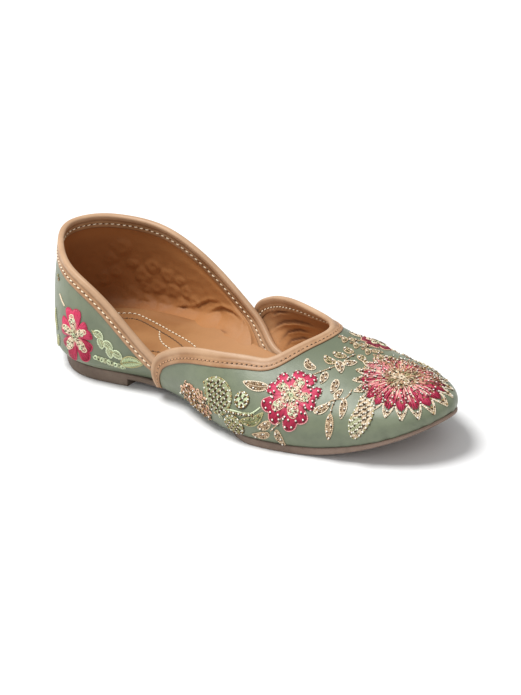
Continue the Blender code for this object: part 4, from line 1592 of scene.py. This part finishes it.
def closed_rim(rim, count):
    """A rim's line, its middle, and its reach from there by direction."""
    rim = smooth_line([*rim, rim[0]], count=count)
    middle = rim[:-1].mean(0)
    spread = rim - middle
    turns = np.arctan2(spread[:-1, 1], spread[:-1, 0])
    order = np.argsort(turns)
    far = np.linalg.norm(spread[:-1], axis=1)[order]
    return rim, middle, lambda turn: np.interp(turn, turns[order], far, period=2 * np.pi)


OVAL_ROW = 2.45
SLANT = ray(0.9)
ACROSS_SLANT = leftward(SLANT)


def beaded_oval(needle, rim, kind, pearls, rows):
    """A rounded leaf: slanted satin, rows of small beads and a beaded rim."""
    rim, middle, reach = closed_rim(rim, 41)
    spread = rim - middle
    side, along = spread @ ACROSS_SLANT, spread @ SLANT
    for at in np.arange(side.min() + 0.3, side.max() - 0.2, 0.46):
        crossing = []
        for k in range(len(rim) - 1):
            if (side[k] - at) * (side[k + 1] - at) <= 0 and side[k] != side[k + 1]:
                t = (at - side[k]) / (side[k + 1] - side[k])
                crossing.append(along[k] + t * (along[k + 1] - along[k]))
        if len(crossing) < 2:
            continue
        low, high = min(crossing), max(crossing)
        cuts = np.linspace(low, high, max(2, int((high - low) / 3.2) + 1))
        for a, b in zip(cuts[:-1], cuts[1:]):
            strand = SLANT * np.linspace(a + 0.1, b - 0.1, 5)[:, None]
            shade = np.clip(0.5 + needle.rng.normal(0, 0.18), 0, 1)
            needle.lay(middle + ACROSS_SLANT * at + strand, 0.27, kind, shade, 0.15 + 0.4 * HUMP)
    needle.cord(rim, 0.3, "olive", 0.6, 0.3)
    for k in range(0, len(rim) - 1, 2):
        needle.shadowed_bead(middle + spread[k] * 0.98, 0.5, "pearl" if k % 4 else pearls, 0.7, 0.5)
    for i in range(-rows, rows + 1):
        for j in range(-rows, rows + 1):
            row, place = i * OVAL_ROW + 0.4, j * OVAL_ROW + (i % 2) * OVAL_ROW / 2
            spot = ACROSS_SLANT * row + SLANT * place
            if np.hypot(*spot) < reach(np.arctan2(spot[1], spot[0])) * 0.84:
                tone = needle.rng.uniform(0, 0.5)
                needle.shadowed_bead(middle + spot, 0.5, pearls, tone, 0.75)
                needle.bead(middle + spot + (0.8, 0.5), 0.44, "pearl", 0.6, 0.7)
                needle.bead(middle + spot + (-0.2, -0.85), 0.46, "shade", 0.15, 0.7)


ROSETTE_KNOTS = 96


def knotted_rosette(needle, rim):
    """A patch of curled knots inside a rim."""
    _, middle, reach = closed_rim(rim, 61)
    for k in range(ROSETTE_KNOTS):
        turn = k * GOLDEN_TURN
        limit = reach(np.mod(turn + np.pi, 2 * np.pi) - np.pi)
        spot = middle + ray(turn) * (limit * np.sqrt((k + 0.5) / ROSETTE_KNOTS) * 0.97)
        kind = "straw" if k % 5 == 3 else "salmon"
        needle.knot(spot, 1.3, kind, needle.rng.uniform(0.1, 1.0), 0.3)
        if k % 3 == 0:
            needle.bead(spot + (0.9, -0.6), 0.44, "shade", 0.2, 0.6)
        if k % 2 == 0:
            needle.shadowed_bead(spot, 0.5, "brass", needle.rng.uniform(0.2, 0.9), 0.95)
        elif k % 3 == 0:
            needle.shadowed_bead(spot, 0.5, "pearl", 0.7, 0.95)


RAYS = 20
FIRST_RAY = 217.5
TOE_FRINGE = [("blush", 0.75), ("crimson", 0.7), ("straw", 0.75), ("crimson", 0.05)]
FAR_FRINGE = [("salmon", 0.4), ("wine", 0.7), ("gold", 0.3), ("salmon", 0.0)]
FRINGE_SHARES = [0.5, 0.2, 0.14, 0.16]
HEART_SILKS, HEART_SHARES = ("straw", "gold", "olive", "salmon"), [0.42, 0.22, 0.13, 0.23]
SCATTERED = ("pearl", "brass", "shade", "blush")
SCATTER_SHARES, HEART_SCATTER_SHARES = [0.42, 0.2, 0.26, 0.12], [0.25, 0.25, 0.5, 0.0]


def flower_ray(needle, turn, half, silk, far_side):
    """One crimson ray of the toe's flower, with its gold tip and its beads."""
    rng = needle.rng
    crimson_far, gold_far = toe_reach(turn)

    def spot(far, off):
        return ray(turn + off) * far

    halves = []
    for side in (-1, 1):
        waist, shoulder = (0.66, side * half * 1.05), (0.88, side * half * 0.80)
        rim = [spot(crimson_far * far, off) for far, off in (waist, shoulder)]
        halves.append(smooth_line([*rim, spot(crimson_far, 0)], pitch=0.5))
    line = np.concatenate([halves[0], halves[1][-2::-1]])
    near = np.array([spot(7.5, half * 0.9 * t) for t in np.linspace(-1, 1, len(line))])
    needle.satin(near, line, silk, (0.75, rng.uniform(0.0, 0.6)), 0.32, 0.9, 0.15, 0.14)
    for off in (-0.35, 0.35):
        parting = [spot(crimson_far * 0.45, half + off * half), spot(crimson_far * 0.84, half)]
        needle.cord(parting, 0.26, "wine", 0.1, 1.0)
    for side in (-1, 1):
        valley = spot(crimson_far * 0.86, side * half)
        bend = spot(crimson_far * 1.06, side * half * 0.50)
        tip = spot(gold_far, 0)
        for grow, radius in ((1.0, 0.36), (0.945, 0.28)):
            path = [valley * grow, bend * grow, tip * grow]
            needle.cord(path, radius, "straw", 0.62, 0.28, twist=0.3)
        far = smooth_line([valley, bend, tip * 0.99], pitch=0.8)
        inner_bend = (bend + spot(crimson_far, 0)) / 2
        close = [valley * 0.95, inner_bend, spot(crimson_far * 1.01, 0)]
        close = smooth_line(close, count=len(far))
        needle.satin(close, far, "gold", (0.1, 0.45), 0.26, 0.25, 0.1, 0.2)
        for at, kind in ((0.3, "pearl"), (0.55, "pearl"), (0.8, "shade")):
            inner, outer = close[int(at * (len(close) - 1))], far[int(at * (len(far) - 1))]
            needle.bead(inner * (0.45 + 0.1 * at) + outer * (0.55 - 0.1 * at), 0.44, kind, 0.4, 0.5)
    beads = (
        (crimson_far * 1.05, 0.0, 0.6), (crimson_far * 0.86, half, 0.7),
        (crimson_far * 0.78, 0.0, 0.95), (gold_far - 0.9, 0.0, 0.5),
    )
    for far, off, lift in beads:
        light = rng.random() < (0.3 if far_side else 0.65)
        place = spot(far, off + rng.normal(0, 0.02))
        needle.shadowed_bead(place, 0.5, "pearl" if light else "brass", 0.75, lift)


def toe_reach(turn):
    """How far the crimson and the gold reach, by direction."""
    wide = 1 + 0.10 * np.cos(turn) - 0.10 * max(0.0, float(np.sin(turn)))
    return 21.6 * wide, 25.9 * wide


def toe_blossom(needle):
    """The toe's large flower: crimson rays tipped with gold, a pink fringe and a straw heart."""
    rng = needle.rng
    for k in range(RAYS):
        turn = np.radians(FIRST_RAY) + k * (2 * np.pi / RAYS)
        far_side = np.sin(turn) > 0.25
        silk = ("salmon", "crimson", "wine")[(k + far_side) % 3] if far_side else "crimson"
        flower_ray(needle, turn, np.pi / RAYS, silk, far_side)
    for k in range(380):
        way = ray(k * GOLDEN_TURN + rng.normal(0, 0.05))
        start, end = rng.uniform(5.0, 11.5), rng.uniform(12.5, 20.0)
        choice = rng.choice(4, p=FRINGE_SHARES)
        fringe = FAR_FRINGE if way[1] > 0.3 and rng.random() < 0.75 else TOE_FRINGE
        kind, light = fringe[choice]
        tone = np.clip(light + np.linspace(0.35, -0.25, 5) + rng.normal(0, 0.15), 0, 1)
        sway = leftward(way) * rng.normal(0, 0.7) * FIVE[:, None]
        path = way * np.linspace(start, end, 5)[:, None] + sway
        needle.lay(path, 0.25, kind, tone, rng.uniform(0.9, 1.3) + 0.5 * HUMP, sides=4)
    for k in range(190):
        way = ray(k * GOLDEN_TURN + 1)
        start = rng.uniform(0.3, 7.5)
        end = start + rng.uniform(2.0, 4.5)
        side = leftward(way) * rng.normal(0, 1.3)
        kind = HEART_SILKS[rng.choice(4, p=HEART_SHARES)]
        path = way * np.linspace(start, end, 5)[:, None] + side * np.linspace(-0.5, 1, 5)[:, None]
        tone, arch = rng.uniform(0.0, 1.0), np.sin(np.pi * np.linspace(0.1, 0.9, 5))
        needle.lay(path, 0.27, kind, tone, 1.3 + rng.uniform(0.2, 0.9) * arch, sides=4)
    needle.knot((0, 0), 1.7, "straw", 0.8, 1.9, 5)
    for k in range(300):
        far = 2.0 + 18.0 * np.sqrt((k + 0.5) / 300)
        place = ray(k * GOLDEN_TURN) * far + rng.normal(0, 0.6, 2)
        kind = SCATTERED[rng.choice(4, p=SCATTER_SHARES if far > 8 else HEART_SCATTER_SHARES)]
        work = needle.shadowed_bead if kind == "pearl" else needle.bead
        work(place, rng.uniform(0.34, 0.46), kind, rng.uniform(0.4, 1.0), 2.0)


# ---------------------------------------------------------------- the embroidery's pattern

SILK_COLOURS = {
    # name: dark, light, and where they aren't the usual ones, roughness, shine and metallic
    "crimson": ((0.35, 0.008, 0.040), (0.74, 0.065, 0.16)),
    "wine": ((0.17, 0.010, 0.026), (0.50, 0.060, 0.11)),
    "blush": ((0.68, 0.11, 0.17), (0.93, 0.47, 0.44)),
    "straw": ((0.50, 0.33, 0.17), (0.96, 0.84, 0.64), 0.38, 0.5),
    "gold": ((0.25, 0.14, 0.06), (0.82, 0.62, 0.40), 0.36, 0.6, 0.15),
    "leaf_green": ((0.20, 0.22, 0.09), (0.62, 0.64, 0.42), 0.45, 0.35),
    "pale_green": ((0.46, 0.56, 0.30), (0.82, 0.90, 0.64)),
    "olive": ((0.22, 0.20, 0.07), (0.58, 0.52, 0.26), 0.45, 0.4, 0.05),
    "salmon": ((0.48, 0.20, 0.11), (0.96, 0.66, 0.46)),
    "cream": ((0.62, 0.44, 0.27), (0.95, 0.84, 0.64), 0.5, 0.3),
    "tan_thread": ((0.26, 0.12, 0.055), (0.62, 0.36, 0.20), 0.5, 0.3),
    "pearl": ((0.78, 0.72, 0.58), (1.0, 0.98, 0.90), 0.14, 0.8),
    "brass": ((0.12, 0.06, 0.02), (0.60, 0.40, 0.16), 0.22, 0.7, 0.5),
    "shade": ((0.05, 0.025, 0.012), (0.22, 0.12, 0.06), 0.5, 0.3),
}
GOLD, GOLD_OLIVE, GREEN_OLIVE = ("gold", "gold"), ("gold", "olive"), ("leaf_green", "olive")

SIDE_CENTRE = (181.4, -38.8, 28.8)
SIDE_TIPS = [
    [(-10.4, 9.5), (-13.9, -0.8)],
    [(5.6, 14.3), (-3.3, 14.1)],
    [(13.9, -2.1), (12.6, 8.4)],
    [(5.3, -16.9), (12.5, -9.6)],
    [(-12.2, -10.2), (-3.6, -16.2)],
]
HEEL_TIPS = [
    [(1.6, 14.0), (-7.0, 12.8)],
    [(11.1, 0.6), (6.6, 8.0)],
    [(7.0, -13.6), (10.4, -6.4)],
    [(-10.6, -8.0), (-3.4, -15.6)],
    [(-11.4, 6.0), (-12.6, -0.6)],
]


def sew_leaves(n, rows, tone=0.3):
    """Leaves by their base, tip, width, silks, bend and number of beads."""
    for base, tip, wide, kinds, bend, beads in rows:
        n.leaf(base, tip, wide, kinds, bend, beads, tone)


def side_blossom(n):
    lobed_blossom(n, SIDE_TIPS, 4.6, True, "blush", 3.0)


def heel_blossom(n):
    lobed_blossom(n, HEEL_TIPS, 4.0, False, "crimson", 2.4)
    for pair in np.array(HEEL_TIPS):
        for share in (0.4, 0.56, 0.70):
            n.loop((pair[0] + pair[1]) / 2 * share, 1.7, 1.2, 0.3, "straw", 0.36, 0.6, 1.05)


def side_leaves(n):
    n.leaf((-13.4, -0.2), (-27.2, -2.3), 5.4, bend=0.07)
    sew_leaves(n, [
        ((-5.2, -16.0), (-11.0, -21.4), 4.4, GOLD, 0.1, 2),
        ((-4.5, -22.3), (-13.9, -27.4), 4.6, GOLD, 0.1, 2),
        ((-0.7, -18.6), (4.3, -27.0), 4.2, GOLD, -0.08, 3),
    ], 0.6)
    n.stem([(0.2, -14.0), (-2.2, -17.6), (-3.8, -20.6)], beads=2)


def upper_leaves(n):
    n.stem([(-9.1, -8.7), (-5.2, -3.1), (-1.6, 2.3), (1.4, 7.8)], beads=4)
    sew_leaves(n, [
        ((-8.2, -2.1), (-15.6, 1.2), 4.4, STRAW_GOLD, 0.22, 2),
        ((-2.6, -1.5), (-0.6, -8.6), 4.2, STRAW_GOLD, 0.06, 3),
        ((5.0, -3.0), (7.5, -11.2), 4.2, STRAW_GOLD, 0.06, 3),
        ((-1.6, 6.2), (-9.4, 7.6), 4.2, GOLD_OLIVE, 0.15, 2),
        ((-0.2, 12.9), (-7.5, 12.0), 4.2, GOLD_OLIVE, 0.12, 2),
        ((-1.8, 7.5), (4.6, 1.6), 4.6, STRAW_GOLD, 0.05, 3),
        ((1.4, 8.2), (6.6, 12.4), 4.2, STRAW_GOLD, -0.1, 2),
        ((0.8, 17.4), (-5.4, 18.6), 4.0, GOLD_OLIVE, 0.1, 2),
        ((3.9, 16.8), (9.6, 14.6), 4.0, GOLD_OLIVE, 0.1, 2),
    ])
    n.stem([(1.4, 7.8), (1.2, 12.9), (2.4, 17.0)], beads=3)


def right_leaves(n):
    n.stem([(-7.6, -10.2), (-4.4, -5.8), (-1.2, -1.2), (3.1, 1.3), (3.6, 7.4)], beads=5)
    n.leaf((-8.2, -10.8), (-2.4, -3.7), 4.6, bend=-0.12)
    n.stem([(-1.2, -1.4), (-0.4, -5.2), (0.6, -9.0)], beads=2)
    n.leaf((0.6, -9.0), (3.5, -21.6), 4.2, GOLD, 0.05, 4, 0.7)
    n.leaf((3.0, 0.9), (6.8, -9.2), 4.0, bend=0.05)
    n.leaf((-1.2, -0.6), (-0.6, 5.4), 3.4, bend=0.1, beads=2)


def green_oval(n):
    rim = [
        (-11.0, 4.0), (-6.0, 7.6), (-0.5, 8.4), (5.4, 5.6), (8.8, 0.6), (8.4, -4.6), (6.0, -8.0),
        (-0.4, -9.6), (-5.2, -6.4), (-8.4, -1.6),
    ]
    beaded_oval(n, rim, "leaf_green", "brass", 5)
    n.knot((2.6, -10.6), 1.6, "leaf_green", 0.7)


def rosette(n):
    knotted_rosette(n, [
        (-17.0, -3.0), (-12.0, 3.8), (-6.5, 6.8), (-1.0, 5.6), (3.0, 7.4), (9.0, 5.0), (12.6, 1.0),
        (11.6, -5.0), (8.0, -9.0), (0.0, -9.0), (-8.0, -9.0), (-14.0, -8.0),
    ])


def round_rim(middle, long, wide, count):
    turns = np.linspace(0, 2 * np.pi, count + 1)[:-1]
    return [(long * np.cos(t) + middle[0], wide * np.sin(t) + middle[1]) for t in turns]


def bud_and_stem(n):
    beaded_oval(n, round_rim((-0.2, 0.4), 3.8, 3.9, 8), "pale_green", "brass", 2)
    stem = [(-9.6, -6.6), (-6.4, -6.3), (-0.7, -5.9), (5.9, -5.2), (10.9, -0.3)]
    n.stem(stem, "pale_green", 0.42, 0, 0.7)
    for at in np.linspace(0, 1, 12):
        spot = np.array([-8.6 + 16.5 * at, -7.2 + 2.0 * at**2])
        n.knot(spot, 1.3, "leaf_green", 0.5, 0.25)
        n.shadowed_bead(spot, 0.5, "brass" if int(at * 11) % 2 else "pearl", 0.5, 0.9)
    n.leaf((1.6, -9.8), (13.2, -2.4), 5.0, ("olive", "leaf_green"), -0.18, 2, bead="brass")


def round_leaf(n):
    middle = np.array([0.8, 0.4])
    beaded_oval(n, round_rim(middle, 5.8, 5.4, 10), "leaf_green", "brass", 3)
    for turn in np.linspace(0.2, 2 * np.pi + 0.2, 5, endpoint=False):
        n.loop(middle + ray(turn) * (2.7, 2.6), 1.7, 1.1, turn, "olive", 0.32, 0.6, 0.75)


def drooping_leaf(n):
    rim = [
        (-5.6, 8.0), (-1.0, 8.0), (4.0, 4.4), (5.4, -3.0), (3.4, -9.0), (-0.2, -13.4),
        (-3.4, -9.4), (-4.6, -4.0), (-4.4, 2.0),
    ]
    beaded_oval(n, rim, "straw", "pearl", 4)
    for k in range(26):
        far = 3.6 * np.sqrt((k + 0.5) / 26)
        spot = (-1.0, -6.2) + ray(k * GOLDEN_TURN) * far * (0.7, 1.1)
        n.knot(spot, 1.0, "leaf_green", 0.6, 0.5, 2)


def ridge_blossom(n):
    turns = np.arange(5) * 2 * np.pi / 5
    tips = [[8.4 * ray(turn + off) for off in (-0.3, 0.3)] for turn in turns]
    lobed_blossom(n, tips, 2.8, False, "salmon", 2.2, "wine")
    for turn in (1.1, 2.2, 3.4):
        n.leaf(ray(turn) * 9.0, ray(turn) * 15.5, 3.8, bend=0.1, beads=2)


def ridge_spray(n):
    n.stem([(-17.0, 0.6), (-9.0, 1.8), (-1.0, 1.2), (7.0, 2.4), (14.0, 1.2)], beads=7, tone=0.35)
    side = -1
    for at in (-14.0, -10.5, -6.5, -3.0, 1.0, 4.5, 8.5, 12.0):
        tip = (at + 3.6, 1.2 + 4.6 * side)
        n.leaf((at, 1.2), tip, 3.0, GOLD_OLIVE, 0.1, 1, 0.1, "straw")
        n.knot((at - 1.2, 1.4 + 2.0 * side), 0.9, "gold", 0.3, 0.2)
        side = -side


def heel_leaves(n):
    n.stem([(-8.6, 8.4), (-4.1, 4.9), (0.0, 0.0), (4.1, -2.5), (7.6, -5.6)], "leaf_green", 0.36)
    for at, side in ((0.08, 1), (0.28, -1), (0.45, 1), (0.62, -1), (0.8, 1)):
        spot = np.array([-8.6 + 15 * at, 8.4 - 13 * at])
        tip = spot + np.array([3.6, -4.2]) + np.array([2.0, 1.6]) * side
        n.leaf(spot, tip, 4.6, ("pale_green", "leaf_green"), 0.1, 0, 0.8)
        n.knot(spot, 1.0, "olive", 0.5, 0.25, 2)
    n.stem([(-7.5, -6.0), (-1.4, -7.6), (5.2, -9.6), (9.6, -9.4)], "leaf_green", 0.36)
    for k in range(9):
        kind = "leaf_green" if k % 2 else "pale_green"
        n.knot((-7.0 + 2.0 * k, -6.6 - 0.36 * k), 1.6, kind, 0.55, 0.25, 4)
    n.leaf((8.4, -7.2), (21.6, -5.2), 7.0, ("olive", "pale_green"), 0.06, 0, 0.4)


def back_leaves(n):
    sew_leaves(n, [
        ((0.8, -5.6), (-2.6, 5.6), 4.6, GREEN_OLIVE, 0.15, 0),
        ((2.4, -7.8), (-1.8, -14.8), 4.4, GREEN_OLIVE, 0.15, 0),
    ], 0.75)
    n.stem([(4.7, 16.2), (8.2, 14.0), (12.1, 11.9)], "straw", 0.42, 0, 0.6)
    n.knot((0.4, 22.7), 1.1, "gold", 0.2, 0.2, 4)
    n.knot((-2.0, 24.0), 0.9, "olive", 0.2, 0.2)


MOTIFS = [
    # pattern, centre, reach, and a random seed for the outer side and one for the inner side
    ("vamp", [
        (side_blossom, SIDE_CENTRE, 19, 10, 40),
        (side_leaves, SIDE_CENTRE, 31, 11, 41),
        (upper_leaves, (191.8, -19.7, 37.6), 22, 12, None),
        (right_leaves, (203.6, -29.8, 29.8), 24, 13, 43),
        (green_oval, (142.8, -49.9, 22.7), 14, 14, 44),
        (rosette, (125.7, -46.9, 14.1), 20, 15, 45),
        (bud_and_stem, (157.9, -49.3, 23.7), 18, 16, 46),
        (round_leaf, (153.5, -51.6, 9.8), 9, 17, 47),
        (drooping_leaf, (219.3, -30.8, 26.3), 16, 18, 48),
        (toe_blossom, (222.7, -3.8, 34.2), 31, 5, None),
        (ridge_blossom, (190.5, 19.5, 38.0), 18, 6, None),
        (ridge_spray, (193.0, 4.5, 38.5), 20, 7, None),
    ]),
    ("quarter", [
        (heel_blossom, (40.6, -43.6, 26.4), 18, 70, 90),
        (heel_leaves, (60.0, -41.5, 23.0), 25, 71, 91),
        (back_leaves, (20.5, -36.4, 26.9), 27, 72, 92),
    ]),
]


def embroidery(skins):
    """Sews each motif on the outer side, and mirrored on the inner one if it has a seed there."""
    for (slot, motifs), skin in zip(MOTIFS, skins):
        for pattern, (along, across, up), reach, *seeds in motifs:
            for prefix, flip, seed in zip(("", "inner_"), (1, -1), seeds):
                if seed is None:
                    continue
                threads = Threads(list(SILK_COLOURS))
                patch = Patch(skin, (along, across * flip, up), reach)
                pattern(Needle(patch, threads, seed, flip))
                threads.build(prefix + pattern.__name__, slot)


# ---------------------------------------------------------------- build

LEATHER_GREEN, LEATHER_LINING = green_leather(), lining_leather()
LEATHER_BINDING = binding_leather()
SILKS = {name: thread(name, *settings) for name, settings in SILK_COLOURS.items()}

quarter_here, vamp_here = quarter_places(), vamp_places()
quarter_upper(*quarter_here)
vamp_upper(*vamp_here)
binding("quarter_top_line", "quarter_binding", quarter_edge(), quarter_middle, 0.9)
binding("vamp_top_line", "vamp_binding", mirrored(*vamp_edge()), vamp_middle, 0.35)
outsole(sole_rubber())
lasting_margin(LEATHER_GREEN)
insole_stitching(insole(insole_leather()))
stitches()
vamp_skin = skin_of(outside(*vamp_here, vamp_middle))
embroidery([vamp_skin, skin_of(outside(*quarter_here, quarter_middle))])

studio()
camera()
